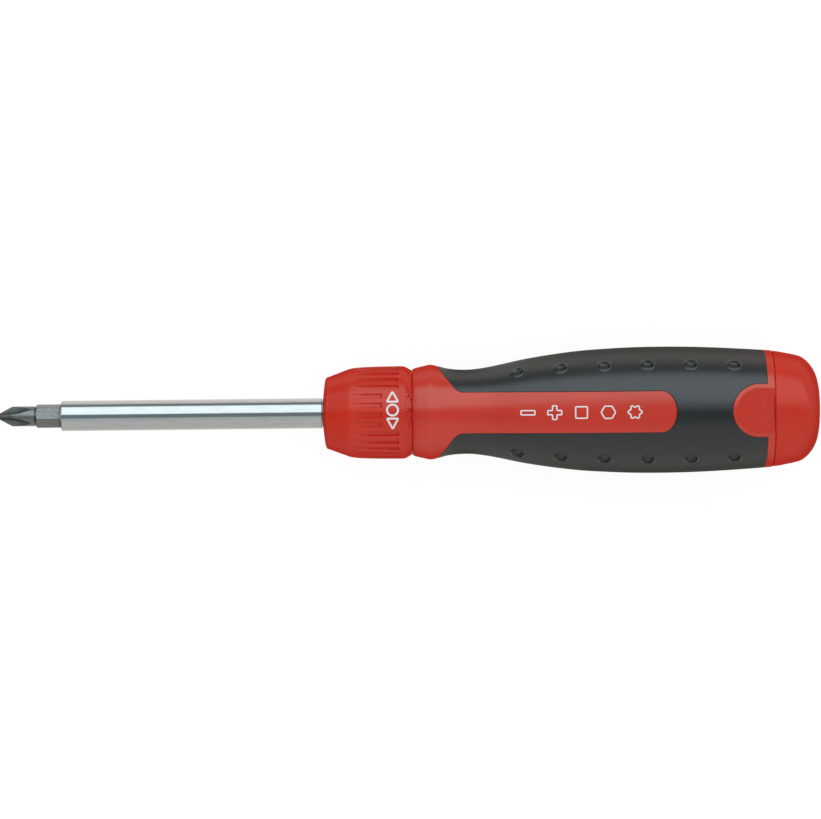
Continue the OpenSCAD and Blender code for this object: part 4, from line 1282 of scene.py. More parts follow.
@dataclass
class Collar:
    """Selector collar: a fluted sleeve with three marks and three click positions.

    Attributes:
        front: Station of the collar's front.
        length: Length of the collar.
        radius: Largest radius.
        bore_r: Radius of the bore.
        mark_phi: Angle of the middle of the marks.
        pitch: Angle from one finger groove to the next.
        groove_half, groove_r: Half-width of a groove, and radius of its floor.
        short_end, long_end: Shares of the length where the grooves by the marks and the others end.
        field_from, field_angle: Share of the length where the sunk fields start, and their width.
        field_spread: Angle between the two fields, and from one rib to the next.
        field_depth: Depth of the fields.
        rib_half, rib_r: Half-width and radius of a rib.
        notch_half, notch_length, notch_floor: Half-width, length and floor of a notch in the rear
            edge.
        notch_turns: Angles of the notches.
        land_r: Radius of the ring of the rear face inside the notches.
        web, shaft_r: Length of the front wall, and radius of the hole in it.
        ring_groove: Front, rear and radius of the groove for the snap ring.
        leaf_room: Front and rear of the room for the detent leaf.
        click_at, click_r, click_turns: Place, radius and angles (from -Y) of the click hollows.
        outline: Outline of the collar.
    """

    front: float = 79.4
    length: float = 26.85
    radius: float = 14.0
    bore_r: float = 11.9
    mark_phi: float = 4.9
    pitch: float = 12.0
    groove_half: float = 0.7
    groove_r: float = 13.45
    short_end: float = 0.663
    long_end: float = 0.848
    field_from: float = 0.922
    field_angle: float = 14.9
    field_spread: float = 19.5
    field_depth: float = 0.12
    rib_half: float = 0.55
    rib_r: float = 13.9
    notch_half: float = 0.85
    notch_length: float = 0.45
    notch_floor: float = 12.3
    notch_turns: tuple[float, ...] = (-12, 0, 12)
    land_r: float = 12.2
    web: float = 3.7
    shaft_r: float = 4.75
    ring_groove: tuple[float, float, float] = (96.93, 98.03, 12.45)
    leaf_room: tuple[float, float] = (99.18, 104.98)
    click_at: float = 10.15
    click_r: float = 2.2
    click_turns: tuple[float, ...] = (-17, 0, 17)
    outline: Outline = field(init=False)

    SHARES = (
        (0, 0.36), (0.006, 0.46), (0.015, 0.61), (0.028, 0.73), (0.04, 0.768), (0.066, 0.787),
        (0.147, 0.845), (0.235, 0.909), (0.301, 0.953), (0.335, 0.966), (0.404, 0.981),
        (0.539, 0.993), (0.673, 0.9985), (0.786, 1), (0.894, 1), (0.918, 0.995), (0.946, 0.97),
        (0.98, 0.93), (1, 0.915),
    )  # fmt: skip

    def __post_init__(self) -> None:
        """Works out the outline."""
        self.outline = Outline(self.SHARES, self.front, self.length, self.radius)
        self.rear = self.front + self.length

    def columns(self) -> Array:
        """Works out the columns, crowded at every step.

        Returns:
            Their angles from the middle of the marks.
        """
        beside = np.array([0, 0.3, 0.52, 0.6, 0.65, 0.7, 0.75, 0.8, 0.9, 1.1, 1.3])
        beside = np.degrees(beside / self.radius)
        middles = self.pitch * (np.arange(30) + 0.5)
        grooves = middles[:, None] + np.concatenate([-beside[::-1], beside])
        half = self.field_angle / 2
        rib, notch = np.degrees(np.array([self.rib_half, self.notch_half]) / self.radius)
        steps = (
            ((-self.field_spread / 2, self.field_spread / 2), (half - 0.15, half + 0.15)),
            ((-self.field_spread, 0, self.field_spread), (0.75 * rib, 0.9 * rib, rib, 1.15 * rib)),
            (self.notch_turns, (notch - 0.08, notch + 0.08)),
        )
        edges = [a + t * d for middles, ways in steps for a in middles for t in (-1, 1) for d in ways]
        keys = np.concatenate([grooves.ravel(), self.pitch * np.arange(30), edges]) % 360
        keys = np.unique(np.round(keys, 3))
        return np.append(keys, keys[0] + 360)

    def groove_depth(self, x: Array, theta: Array) -> Array:
        """Depth of the finger grooves: down to a flat floor, with rounded rims and a blunt end.

        Args:
            x: Stations.
            theta: Angles from the middle of the marks.

        Returns:
            Depth below the outline.
        """
        top = self.outline.r(x)
        index = np.floor(theta / self.pitch)
        aside = np.radians(theta - (index + 0.5) * self.pitch) * self.radius
        middle = (index + 0.5) * self.pitch % 360
        short = np.minimum(middle, 360 - middle) < 2 * self.pitch
        end = self.front + self.length * np.where(short, self.short_end, self.long_end)
        across = 1 - smoothstep(self.groove_half - 0.08, self.groove_half + 0.1, np.abs(aside))
        along = 1 - smoothstep(-0.1, 0.1, x - end)
        return np.maximum(top - self.groove_r, 0) * across * along

    def field_depths(self, x: Array, theta: Array) -> Array:
        """Depth of the two sunk fields on the rear bevel, less the rise of the ribs beside them.

        Args:
            x: Stations.
            theta: Angles from the middle of the marks.

        Returns:
            Depth below the outline.
        """
        turn = signed(theta)
        ribs = self.field_spread * np.array([-1, 0, 1])
        off_rib = np.radians(np.abs(turn[..., None] - ribs).min(-1)) * self.radius
        rise = np.maximum(self.rib_r - self.outline.r(x), 0) * (x > self.front + 0.8 * self.length)
        rise = rise * (1 - smoothstep(self.rib_half - 0.12, self.rib_half + 0.06, off_rib))
        rise = rise * (1 - smoothstep(self.rear - 1.15, self.rear - 0.6, x))
        aside = np.abs(np.abs(turn) - self.field_spread / 2)
        across = 1 - smoothstep(self.field_angle / 2 - 0.15, self.field_angle / 2 + 0.15, aside)
        start = self.front + self.field_from * self.length
        return self.field_depth * across * smoothstep(start - 0.06, start + 0.12, x) - rise

    def notch(self, theta: Array) -> Array:
        """1 in the three notches at the rear edge, else 0."""
        near = np.abs(signed(theta)[..., None] - np.array(self.notch_turns)).min(-1)
        return (np.radians(near) * self.radius < self.notch_half).astype(float)

    def sleeve(self, finish: Material) -> Object:
        """Builds the collar.

        Args:
            finish: Material of the collar.

        Returns:
            The collar.
        """
        shell = Shell("selector_collar_sleeve")
        theta = self.columns()
        phi = theta + self.mark_phi
        ends = [self.front + self.length * s for s in (self.short_end, self.long_end)]
        field_x = self.front + self.length * self.field_from
        run_out = self.front + np.linspace(7.7, 10.5, 15)
        crowd = [e + d for e in ends for d in (-0.25, -0.1, -0.05, 0, 0.05, 0.1, 0.25)]
        crowd += [field_x + d for d in (-0.06, 0.03, 0.12)]
        crowd += [self.rear - d for d in (1.15, 1.0, 0.88, 0.75, 0.6, 0.25, 0.15, 0.07, 0.02)]
        curve = self.outline.curve(4)[:, 0]
        x = filled(np.concatenate([curve, run_out, crowd]), 0.6)
        x = x[(x >= self.front) & (x <= self.rear)]
        x = x[np.append(True, np.diff(x) > 0.012)]
        last = (self.rear - self.notch_length * self.notch(theta))[None]
        station = np.minimum(x[:, None], last)
        depth = self.groove_depth(station, theta[None]) + self.field_depths(station, theta[None])
        fall = edge_drop(self.rear - station, 0.25) + edge_drop(station - self.front, 0.1)
        outer = around(station, self.outline.r(station) - depth - fall, phi[None])
        shell.grid(outer)
        low = np.where(self.notch(theta) > 0, self.notch_floor, self.land_r)
        rows = [outer[-1], around(last[0], low, phi), around(self.rear, low, phi)]
        aside = np.radians(np.abs(signed(phi[:, None] + 90 - self.click_turns)))
        left = self.click_r**2 - (self.click_at * np.sin(aside)) ** 2
        click = self.click_at * np.cos(aside) + np.sqrt(np.maximum(left, 0))
        click = np.where(left > 0, click, 0).max(1)
        clicked = np.where(np.cos(aside).max(1) > 0.9, np.maximum(click, self.bore_r), self.bore_r)
        leaf_from, leaf_to = self.leaf_room
        ring_from, ring_to, ring_r = self.ring_groove
        web = self.front + self.web
        bore = [
            (self.rear, self.bore_r), (leaf_to, self.bore_r), (leaf_to, clicked),
            (leaf_from, clicked), (leaf_from, self.bore_r), (ring_to, self.bore_r),
            (ring_to, ring_r), (ring_from, ring_r), (ring_from, self.bore_r),
            (web + 3, self.bore_r), (web, self.bore_r - 1.5), (web, self.shaft_r),
            (self.front, self.shaft_r),
        ]  # fmt: skip
        rows += [around(a, b, phi) for a, b in bore]
        shell.grid(np.stack([*rows, outer[0]]))
        made = shell.solid("selector", finish, 42)
        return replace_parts(made, "selector_collar")

    def marks(self, finish: Material) -> Object:
        """Builds the printed direction marks: a triangle either way and a ring for locked.

        Args:
            finish: Material of the ink.

        Returns:
            The marks.
        """
        shell = Shell("selector_marks_print")
        x, wide, high, line, lean, ring_r = 100.4, 3.35, 3.2, 0.58, 17.0, 1.66
        for side in (-1, 1):
            low, top = -side * high / 2, side * high / 2
            path = closed_path([(-wide / 2, low), (wide / 2, low), (0, top)][::side], 0.3, 0.1)
            stroke(shell, path, line, Carrier(self.outline, x, self.mark_phi + side * lean))
        path = closed_path(regular(24, ring_r), 0.3, 0.1)
        stroke(shell, path, line, Carrier(self.outline, x, self.mark_phi))
        return shell.solid("selector", finish, 60)


# ---- Shaft and bits ----


class Tip(Enum):
    """Kinds of driver tip."""

    CROSS = "cross"
    SLOT = "slot"
    SQUARE = "square"
    HEX = "hex"
    STAR = "star"


def prism_r(phi: Array, flats: float, sides: int) -> Array:
    """Radius of a prism's section, flats/2 / cos(angle from the nearest flat's middle)."""
    span = 360 / sides
    return flats / 2 / np.cos(np.radians((phi + span / 2) % span - span / 2))


@dataclass
class DoubleBit:
    """Double-ended bit: a hexagon with a turned neck and a driver tip at either end.

    Attributes:
        name: Name of the piece.
        node: CAD node that it stands for.
        body: CAD body that it rides on.
        front: Station of the hexagon's front.
        centre: Place of the bit's axis, as y and z.
        kinds: Kind of the front and the rear tip.
        sizes: Size of each tip: its width, or the thickness of a slotted one.
        hex_phi: Angle of the middle of a flat.
        tip_phi: Angle of the middle of a wing or flat of the tips.
        flats, hex_length: Width across the flats and length of the hexagon.
        tip_length, neck_r: Length of each end, and radius of its neck.
        columns: Number of columns.
    """

    name: str
    node: str
    body: str
    front: float
    centre: tuple[float, float]
    kinds: tuple[Tip, Tip]
    sizes: tuple[float, float]
    hex_phi: float
    tip_phi: float
    flats: float = 6.35
    hex_length: float = 23.0
    tip_length: float = 11.0
    neck_r: float = 3.0
    columns: int = 144

    def even(self) -> Array:
        """Evenly spread angles of the columns."""
        return np.linspace(0, 360, self.columns, endpoint=False)

    def hexagon(self) -> list[tuple[Array, Array, Array]]:
        """Works out the hexagon, with rounded rims and long edges.

        Returns:
            Rows (s, phi, r), s from the hexagon's front.
        """
        phi = self.even()
        corner = self.flats / 2 / math.cos(math.pi / 6)
        full = np.minimum(prism_r(phi - self.hex_phi, self.flats, 6), corner - 0.07)
        s = np.array([0, 0.05, 0.12, 0.2, 0.3, 0.4, 0.5, 0.6, 0.7, 0.8, 0.9, 1.2, 2.5])
        s = np.concatenate([s, np.linspace(4, self.hex_length - 4, 12), self.hex_length - s[::-1]])
        inside = np.minimum(s, self.hex_length - s)[:, None]
        cone = self.neck_r + inside - 0.2 * np.exp(-inside / 0.12)
        r = soft_min(full[None] + 0 * inside, cone, 0.06)
        return [(np.full(self.columns, a), phi, b) for a, b in zip(s, r)]

    def cross(self, size: float, s: Array) -> tuple[Array, Array]:
        """Rows of a cross tip.

        The blank is a neck with a cone at its end. Four right-angled flutes leave wings of
        half-thickness t, so the radius is the lower of the blank's and of t / sin a, a being
        the angle from the middle of the nearest wing. The wings grow a little thicker along
        the cone, and behind it the flutes curve out: t is r·(0.145 + 0.06·c + 0.5·u^1.66), c
        going from 0 to 1 along the cone and u from 0 to 1 in the run-out. The columns are
        drawn to the wings' edges.

        Args:
            size: Diameter of the neck.
            s: Distances from the hexagon.

        Returns:
            Angles and radii of the rows.
        """
        r0, cone = size / 2, 0.36 * self.tip_length
        left = self.tip_length - s
        blank = soft_min(r0 + 0 * s, 0.31 * r0 + 0.69 * r0 * left / cone, 0.12)[:, None]
        run_out = np.clip((left[:, None] - cone) / (0.53 * self.tip_length), 0, 1.1)
        thick = r0 * (0.145 + 0.06 * np.clip(left[:, None] / cone, 0, 1) + 0.5 * run_out**1.66)
        edge = np.clip(np.degrees(np.arcsin(np.clip(thick / blank, 0, 1))), 2, 43)
        even = self.even()[None]
        off_wing = (even + 45) % 90 - 45
        part = np.abs(off_wing) / 45
        own = np.where(part < 0.4, part / 0.4 * edge, edge + (part - 0.4) / 0.6 * (45 - edge))
        phi = even - off_wing + np.sign(off_wing) * own
        wall = thick / np.sin(np.radians(np.maximum(own, 0.5)))
        return phi + self.tip_phi, soft_min(blank + 0 * wall, wall, 0.06)

    def slotted(self, thick: float, s: Array) -> tuple[Array, Array]:
        """Rows of a slotted tip: a flat blade cut from the neck, its section a clipped rectangle.

        The radius is the lowest of the neck's, of w / |sin a| and of t / |cos a|, where w and t
        are half the blade's width and thickness at that row.

        Args:
            thick: Thickness of the blade at its end.
            s: Distances from the hexagon.

        Returns:
            Angles and radii of the rows.
        """
        share = s / self.tip_length
        half = np.interp(share, [0, 0.25, 0.75, 1], [6, 3, thick / 2, thick / 2])[:, None]
        wide = 0.9 * self.neck_r
        corner = np.degrees(np.arctan2(half, wide))
        even = self.even()[None]
        quarter = even % 180
        fold = np.minimum(quarter, 180 - quarter)
        own = np.where(fold < 45, fold / 45 * corner, corner + (fold - 45) / 45 * (90 - corner))
        phi = even - quarter + np.where(quarter <= 90, own, 180 - own)
        a = np.radians(own)
        flat = np.minimum(wide / np.maximum(np.cos(a), 1e-3), half / np.maximum(np.sin(a), 1e-3))
        return phi + self.tip_phi + 90, soft_min(self.neck_r + 0 * flat, flat, 0.05)

    def prism(self, size: float, s: Array, kind: Tip) -> tuple[Array, Array]:
        """Rows of a square, hexagon or star tip behind its stepped neck.

        Args:
            size: Width across the flats, or the star's diameter.
            s: Distances from the hexagon.
            kind: Kind of the tip.

        Returns:
            Angles and radii of the rows.
        """
        phi = np.broadcast_to(self.even()[None], (len(s), self.columns))
        if kind is Tip.STAR:
            lobe = 0.07 * size
            tip = size / 2 - lobe + lobe * np.cos(np.radians(6 * phi))
        else:
            tip = prism_r(phi, size, 4 if kind is Tip.SQUARE else 6)
            tip = np.minimum(tip, tip.max() - 0.05)
        slim = 0.8 * self.neck_r
        share = (s / self.tip_length)[:, None]
        neck = np.interp(share, [0, 0.2, 0.34, 0.45, 0.52], [self.neck_r, self.neck_r, slim, slim, 0])
        left = (self.tip_length - s)[:, None]
        return phi + self.tip_phi, np.maximum(neck, tip - 0.3 * np.maximum(0.3 - left, 0) / 0.3)

    def tip(self, kind: Tip, size: float) -> list[tuple[Array, Array, Array]]:
        """Works out a tip, whose rim is rounded and whose foot has a small groove.

        Args:
            kind: Kind of the tip.
            size: Its size.

        Returns:
            Rows (s, phi, r), s from the hexagon outwards, the last of them on the axis.
        """
        end = self.tip_length
        near = [end - way for way in (3.78, 0.3, 0.15, 0.05, 0)]
        s = filled([0, 0.08, 0.15, 0.3, 2, 3.5, 4.7, *near], 0.16)
        if kind is Tip.CROSS:
            phi, r = self.cross(size, s)
        elif kind is Tip.SLOT:
            phi, r = self.slotted(size, s)
        else:
            phi, r = self.prism(size, s, kind)
        rim, foot = smoothstep(0.12, 0, end - s)[:, None], smoothstep(0.26, 0.06, s)[:, None]
        r = r - 0.12 * rim - 0.16 * foot
        rows = [(np.full(self.columns, a), b, c) for a, b, c in zip(s, phi, r)]
        return [*rows, (rows[-1][0], rows[-1][1], 0 * rows[-1][2])]

    def build(self, finish: Material) -> Object:
        """Builds the bit.

        Args:
            finish: Material of the bit.

        Returns:
            The bit.
        """
        front = [(-s, p, r) for s, p, r in self.tip(self.kinds[0], self.sizes[0])][::-1]
        rear = [(self.hex_length + s, p, r) for s, p, r in self.tip(self.kinds[1], self.sizes[1])]
        rows = [*front, *self.hexagon(), *rear]
        s, phi, r = (np.stack([row[i] for row in rows]) for i in range(3))
        points = around(self.front + s, r, phi) + [0, *self.centre]
        shell = Shell(self.name)
        shell.grid(np.concatenate([points, points[:, :1]], 1))
        made = shell.solid(self.body, finish, 30)
        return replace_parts(made, self.node)


@dataclass
class Shaft:
    """Driver shaft: a plated tube with a hexagonal socket, and the journal behind it.

    Attributes:
        radius: Radius of the shaft.
        reach: Station where it enters the collar.
        flats: Width of the socket across its flats.
        hex_phi: Angle of the middle of a flat.
        socket_depth: Depth of the socket.
        bore_r, bore_end: Radius and end of the hole behind it, for the bit's other end.
        relief_r: Radius of the shaft inside the collar.
        seat_r, seat_flat: Radius of the ratchet wheel's seat, and half its width across flats.
        seat_from, seat_to: Stations of its ends.
        journal_r: Radius of the journal.
        groove_x, groove_w, groove_r: Station, width and floor of the circlip's groove.
        rear: Station of the journal's end.
    """

    radius: float = 4.6
    reach: float = 79.4
    flats: float = 6.47
    hex_phi: float = 14.5
    socket_depth: float = 15.35
    bore_r: float = 3.15
    bore_end: float = 26.85
    relief_r: float = 4.4
    seat_r: float = 4.1
    seat_flat: float = 3.6
    seat_from: float = 88.8
    seat_to: float = 95.45
    journal_r: float = 3.5
    groove_x: float = 125.07
    groove_w: float = 1.06
    groove_r: float = 2.95
    rear: float = 127.4

    def build(self, finish: Material) -> Object:
        """Builds the shaft as one lathe surface whose radius is a hexagon's in the socket.

        Args:
            finish: Material of the shaft.

        Returns:
            The shaft.
        """
        phi = self.hex_phi + np.linspace(0, 360, 145)
        socket = prism_r(phi - self.hex_phi, self.flats, 6)
        across = np.maximum(np.abs(np.cos(np.radians(phi))), 1e-3)
        seat = np.minimum(self.seat_r, self.seat_flat / across)
        inner = [
            (self.bore_end, 0), (self.bore_end, self.bore_r), (self.socket_depth, self.bore_r),
            (self.socket_depth, socket), (0.35, socket), (0.12, socket + 0.09),
            (0.0, np.minimum(socket + 0.24, 4.0)),
        ]  # fmt: skip
        nose = [(0.0, 3.9), (0.0, 4.35), (0.25, self.radius), (2.0, self.radius)]
        relief_x, seat_x = self.reach - 0.5, self.seat_from - 0.1
        body = [
            (3.0, self.radius), (relief_x, self.radius), (relief_x, self.relief_r),
            (seat_x, self.relief_r), (seat_x, self.seat_r),
        ]  # fmt: skip
        groove_to = self.groove_x + self.groove_w
        tail = [
            (self.seat_to, self.journal_r), (self.groove_x, self.journal_r),
            (self.groove_x, self.groove_r), (groove_to, self.groove_r), (groove_to, self.journal_r),
            (self.rear - 0.5, self.journal_r), (self.rear, self.journal_r - 0.5), (self.rear, 0),
        ]  # fmt: skip
        outer = [
            *rounded(nose, [0, 0.1, 0.14, 0], 5)[1:],
            *[(x, self.radius) for x in (3.0, *np.linspace(6, 72, 12))],
            *rounded(body, 0.08, 3)[1:],
            (seat_x, seat),
            (self.seat_to, seat),
            *rounded(tail, 0.06, 3),
        ]
        shell = Shell("driver_shaft_plated")
        shell.grid(np.stack([around(a, b, phi) for a, b in [*inner, *outer]]))
        made = shell.solid("driver", finish, 30)
        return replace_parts(made, "shaft")


# ---- Palm cap and store ----


@dataclass
class PalmCap:
    """Palm cap: a domed shell that spins on the store's pivot.

    Attributes:
        front: Station of the cap's rim.
        length: Length of the cap.
        radius: Radius that the cap's outline is given in shares of.
        recess_r, recess_floor: Radius of the cap's hollow, and station of its floor.
        pivot_r, pivot_end: Radius and end of the hole for the pivot.
        lip, lip_r: Way that the lip inside the rim stands out, and its radius.
    """

    front: float = 215.45
    length: float = 14.3
    radius: float = 17.7
    recess_r: float = 15.15
    recess_floor: float = 218.35
    pivot_r: float = 4.5
    pivot_end: float = 225.55
    lip: float = 0.28
    lip_r: float = 17.18

    SHARES = (
        (0, 0.989), (0.09, 0.982), (0.27, 0.955), (0.46, 0.924), (0.6, 0.888), (0.69, 0.84),
        (0.77, 0.776), (0.85, 0.69), (0.915, 0.58), (0.96, 0.44), (0.988, 0.23), (1, 0),
    )  # fmt: skip

    def build(self, finish: Material) -> Object:
        """Builds the cap as a lathe surface with a rounded rim.

        Args:
            finish: Material of the cap.

        Returns:
            The cap.
        """
        curve = Outline(self.SHARES, self.front, self.length, self.radius).curve(8)
        outer = curve[curve[:, 0] > self.front + 0.6]
        lip_x = self.front - self.lip
        rim = rounded(
            [
                (self.pivot_end, 0), (self.pivot_end, self.pivot_r),
                (self.recess_floor, self.pivot_r), (self.recess_floor, self.recess_r),
                (lip_x, self.recess_r), (lip_x, self.lip_r), (self.front, self.lip_r),
                tuple(curve[0]), tuple(outer[0]),
            ],
            [0, 0.2, 0.3, 0.2, 0.1, 0.08, 0, 0.32, 0],
            6,
        )  # fmt: skip
        shell = Shell("palm_cap_dome")
        profile = np.concatenate([rim, outer[1:]])
        shell.grid(around(profile[:, :1], profile[:, 1:], np.linspace(0, 360, 193)[None, :]))
        made = shell.solid("cap", finish, 50)
        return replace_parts(made, "palm_cap")


@dataclass
class Store:
    """Pull-out store with six double-ended bits.

    Attributes:
        hex_front: Station of the stored bits' hexagons.
        ring_r: Radius of the circle on which the bits lie.
    """

    hex_front: float = 180.45
    ring_r: float = 9.0

    KINDS = (
        (Tip.CROSS, (4.8, 6.0)), (Tip.SQUARE, (2.3, 2.85)), (Tip.SLOT, (0.8, 1.1)),
        (Tip.STAR, (2.75, 3.27)), (Tip.STAR, (3.86, 4.43)), (Tip.HEX, (3.0, 4.0)),
    )  # fmt: skip

    def build(self, finishes: Finishes) -> None:
        """Builds the store's body and its bits.

        Args:
            finishes: Materials of the tool.
        """
        smoothed_copy("bit_store", finishes.acetal, 35)
        for i, (kind, sizes) in enumerate(self.KINDS):
            node, phi = f"stored_bit_{i + 1}", 90 - 60 * i
            angle = math.radians(phi)
            centre = (self.ring_r * math.sin(angle), self.ring_r * math.cos(angle))
            DoubleBit(
                f"{node}_{kind.value}", node, "store", self.hex_front, centre, (kind, kind), sizes,
                phi, phi,
            ).build(finishes.bit_steel)  # fmt: skip


# ---- Print on the panel ----


def panel_print(handle: Handle, finish: Material) -> Object:
    """Builds a plain row of tip pictograms on the long panel.

    Args:
        handle: Handle that carries the print.
        finish: Material of the ink.

    Returns:
        The print.
    """
    shell = Shell("tip_pictograms_print")
    size, line, first, pitch = 2.1, 0.42, 141.0, 8.0
    arm = size / 3.2
    plus = [(size, arm), (arm, arm), (arm, size), (-arm, size), (-arm, arm), (-size, arm)]
    plus += [(-a, -b) for a, b in plus]
    a = np.radians(np.arange(0, 360, 5))
    lobes = size * (0.86 + 0.14 * np.cos(6 * a))
    shapes = [
        [(-size, -arm), (size, -arm), (size, arm), (-size, arm)],
        plus,
        regular(4, size * 1.18, 45),
        regular(6, size * 1.03),
        list(zip((lobes * np.cos(a)).tolist(), (lobes * np.sin(a)).tolist())),
    ]
    for i, corners in enumerate(shapes):
        path = closed_path(corners, 0.3, 0.09)
        stroke(shell, path, line, Carrier(handle.outline, first + i * pitch, 0, handle.flatness))
    return shell.solid("handle", finish, 60)


# ---- Studio ----


class Studio:
    """Plain light tent over a white table, and the camera at the photograph's angle.

    Attributes:
        MIDDLE: Point in metres that the camera looks at.
        DISTANCE: Way in metres from there to the camera.
        TILT: Lean of the camera from +Z towards +Y.
        ROLL: Turn of the camera about its own axis.
        GLOSS: Brightness of the tent in reflections.
        SIDES: Brightness of the even light from -Y and from +Y.
        ENDS: Share of the even light that is left at the tool's ends.
        TABLE_SHOWN: Share of the table's own light in what the camera sees of it.
        TABLE_LIGHT: Strength of that light.
        BELLY: Station and height at which the handle rests on the table.
        REST: Station and height at which the collar does.
    """

    BELLY = (181.0, -19.28)
    REST = (95.0, -14.18)
    MIDDLE = (0.1058, 0.00085, 0.0)
    DISTANCE = 1.424
    TILT = 1.9
    ROLL = 0.6
    GLOSS = 2.2
    SIDES = (0.9, 1.26)
    ENDS = 0.55
    TABLE_SHOWN = 0.86
    TABLE_LIGHT = 1.06

    # Brightness of the tent by the angle from the zenith towards +Y, for what is reflected:
    # a wide soft box on the +Y side, the dark gap of the lens and its hood overhead, a grey
    # wall on the -Y side, a dark gap above the table's edge, and the white table itself.
    TENT = (
        (-180, "B1AFAD"), (-108, "A3A19F"), (-60, "A2A5A5"), (-22, "959D9E"),
        (-16, "616B6F"), (8, "616B6F"), (13, "E6F5FC"), (68, "E6F5FC"), (74, "646E72"),
        (91, "646E72"), (98, "9A9C9B"), (108, "BDBAB8"), (180, "BDBAB8"),
    )  # fmt: skip

    # Share of that along the tool's axis: dim from the bit's side, where the stand is, and
    # from the cap's side, and full again close to the axis, where the white table is.
    ALONG = ((-1, 1), (-0.93, 1), (-0.87, 0.3), (-0.6, 0.38), (-0.38, 1), (0.6, 1), (1, 0.85))

    def world(self) -> None:
        """Makes the surroundings.

        They are white to the camera, an even light for what is lit, a little brighter from +Y and
        dimmer from the ends, and the tent for what is reflected.
        """
        world = bpy.data.worlds.new("light_tent")
        bpy.context.scene.world = world
        world.use_nodes = True
        tree = world.node_tree
        tree.nodes.clear()
        direction = add(tree, "SeparateXYZ", {0: add(tree, "TexCoord").outputs["Generated"]})
        x, y, z = direction.outputs
        around_axis = remap(tree, computed(tree, "ARCTAN2", y, z), -math.pi, math.pi)
        tones = tuple((at, colour(code)) for at, code in self.TENT)
        tent = ramp(tree, around_axis, tones, -180, 180)
        shares = tuple((at, (share, share, share, 1)) for at, share in self.ALONG)
        far = ramp(tree, remap(tree, x, -1, 1), shares, -1, 1)
        side = remap(tree, y, -1, 1, *self.SIDES)
        ends = remap(tree, computed(tree, "MULTIPLY", x, x), 0, 1, 1, self.ENDS)
        lights = (
            (WHITE, computed(tree, "MULTIPLY", side, ends)),
            (tent, computed(tree, "MULTIPLY", self.GLOSS, far)),
            (WHITE, 1),
        )
        even, glossy, white = (
            add(tree, "Background", {"Color": tone, "Strength": strength}).outputs[0]
            for tone, strength in lights
        )
        path = add(tree, "LightPath").outputs
        lit = add(tree, "MixShader", {0: path["Is Glossy Ray"], 1: even, 2: glossy})
        seen = computed(tree, "MAXIMUM", path["Is Camera Ray"], path["Is Transmission Ray"])
        mix = add(tree, "MixShader", {0: seen, 1: lit.outputs[0], 2: white})
        add(tree, "OutputWorld", {"Surface": mix.outputs[0]})
        world.cycles.sampling_method = "NONE"

    def floor(self) -> Object:
        """Makes the white table that the tool rests on with its belly and its collar.

        Its slope is that of the line below the two.

        Returns:
            The table.
        """
        (belly_x, belly_z), (rest_x, rest_z) = self.BELLY, self.REST
        slope = (belly_z - rest_z) / (belly_x - rest_x)
        x, y = np.meshgrid([-4000.0, 0.0, 4000.0], [-4000.0, 0.0, 4000.0], indexing="ij")
        shell = Shell("white_table")
        shell.grid(np.stack([x, y, belly_z + slope * (x - belly_x)], -1))
        mesh = bpy.data.meshes.new("white_table")
        mesh.from_pydata((shell.points[0] * MM).tolist(), [], shell.faces[0].tolist())
        made, tree, output = blank("white_laminate_table")
        paint = add(tree, "BsdfDiffuse", {"Color": colour("F0F0F0")})
        seen = add(tree, "Emission", {"Color": WHITE, "Strength": self.TABLE_LIGHT})
        path = add(tree, "LightPath")
        share = computed(tree, "MULTIPLY", path.outputs["Is Camera Ray"], self.TABLE_SHOWN)
        mix = add(tree, "MixShader", {0: share, 1: paint.outputs[0], 2: seen.outputs[0]})
        tree.links.new(mix.outputs[0], output.inputs["Surface"])
        mesh.materials.append(made)
        table = bpy.data.objects.new("white_table", mesh)
        bpy.context.scene.collection.objects.link(table)
        table.visible_glossy = False
        return table

    def camera(self) -> None:
        """Makes the camera, which looks down on the panel from 1.4 metres."""
        data = bpy.data.cameras.new("camera")
        data.lens, data.sensor_width = 206, 36
        data.clip_start, data.clip_end = 0.05, 20
        made = bpy.data.objects.new("camera", data)
        bpy.context.scene.collection.objects.link(made)
        tilt, roll = math.radians(self.TILT), math.radians(self.ROLL)
        back = Vector((0, math.sin(tilt), math.cos(tilt)))
        up = Vector((math.sin(roll), math.cos(roll), 0))
        right = up.cross(back).normalized()
        up = back.cross(right)
        turn = Matrix((right, up, back)).transposed().to_4x4()
        made.matrix_world = Matrix.Translation(Vector(self.MIDDLE) + back * self.DISTANCE) @ turn
        bpy.context.scene.camera = made

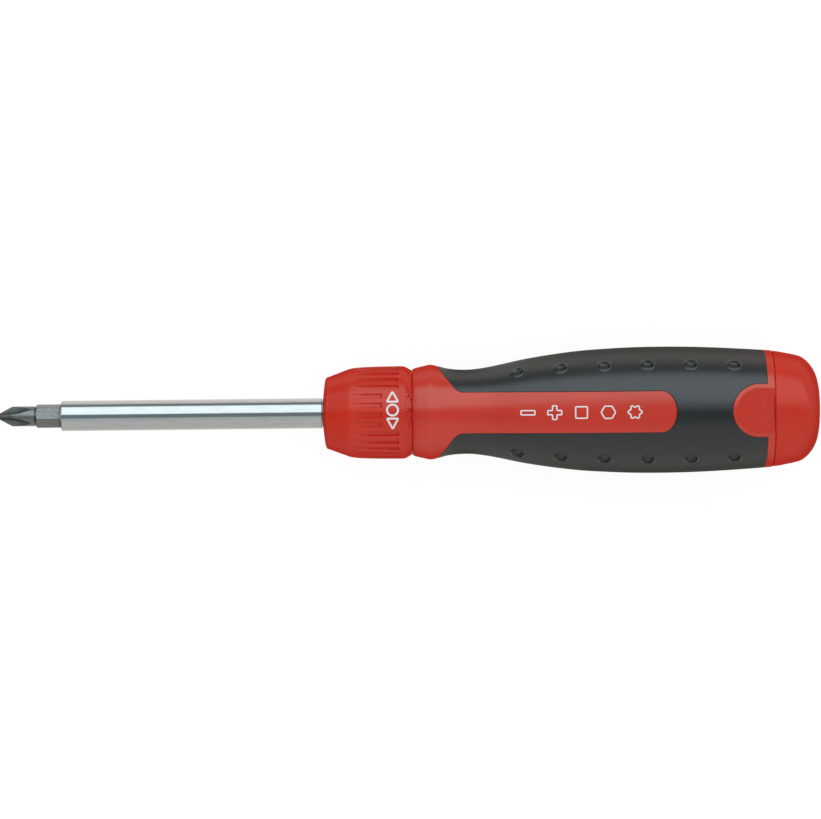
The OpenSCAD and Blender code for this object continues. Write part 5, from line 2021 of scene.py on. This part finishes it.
    def build(self) -> None:
        """Builds the world, the table and the camera, and sets the view transform."""
        self.world()
        self.floor()
        self.camera()
        bpy.context.scene.view_settings.view_transform = "Standard"


# ---- The tool ----


def pawl_springs(finish: Material) -> None:
    """Makes each pawl's spring, which reaches between the sleeve it bears on and its pawl, from its
    CAD node.

    Args:
        finish: Material of the springs.
    """
    seat_z, pawl_z, x = 11.25 * MM, 9.3 * MM, 92.125 * MM
    for name, body, side in (("forward", "pawl_forward", 1), ("reverse", "pawl_reverse", -1)):
        span = (body, (x, 0, side * seat_z), (x, 0, side * pawl_z))
        smoothed_copy(f"{name}_pawl_spring", finish, 40, span)


def dress_hidden(finishes: Finishes) -> None:
    """Gives every CAD node that stays its own material.

    Args:
        finishes: Materials of the tool.
    """
    dress = (
        (finishes.spring, "bit_clip_ring shaft_circlip collar_snap_ring detent_leaf cap_snap_ring"),
        (finishes.hardened, "ratchet_wheel thrust_washer forward_pawl reverse_pawl housing_sleeve"),
        (finishes.zinc, "cam_ring ratchet_housing"),
        (finishes.bronze, "shaft_bushing"),
        (finishes.grey_acetal, "store_stop_ring cap_washer"),
    )
    for finish, names in dress:
        for slot in (slot for name in names.split() for slot in frame["nodes"][name].material_slots):
            slot.link = "OBJECT"
            slot.material = finish


def main() -> None:
    """Builds the studio and every piece of the tool."""
    logging.basicConfig(level=logging.INFO, format="%(name)s: %(message)s")
    Studio().build()
    finishes = Finishes()
    handle = Handle()
    handle.hard_core(finishes.red)
    handle.soft_grip(finishes.rubber)
    panel_print(handle, finishes.ink)
    collar = Collar()
    collar.sleeve(finishes.red_sleeve)
    collar.marks(finishes.ink)
    Shaft().build(finishes.nickel)
    DoubleBit(
        "working_bit_double_ended", "working_bit", "bit", -7.8, (0, 0), (Tip.CROSS, Tip.SLOT),
        (6.0, 0.9), 14.5, 1.5,
    ).build(finishes.bit_steel)  # fmt: skip
    PalmCap().build(finishes.red_cap)
    Store().build(finishes)
    pawl_springs(finishes.spring)
    dress_hidden(finishes)


if __name__ == "__main__":
    main()
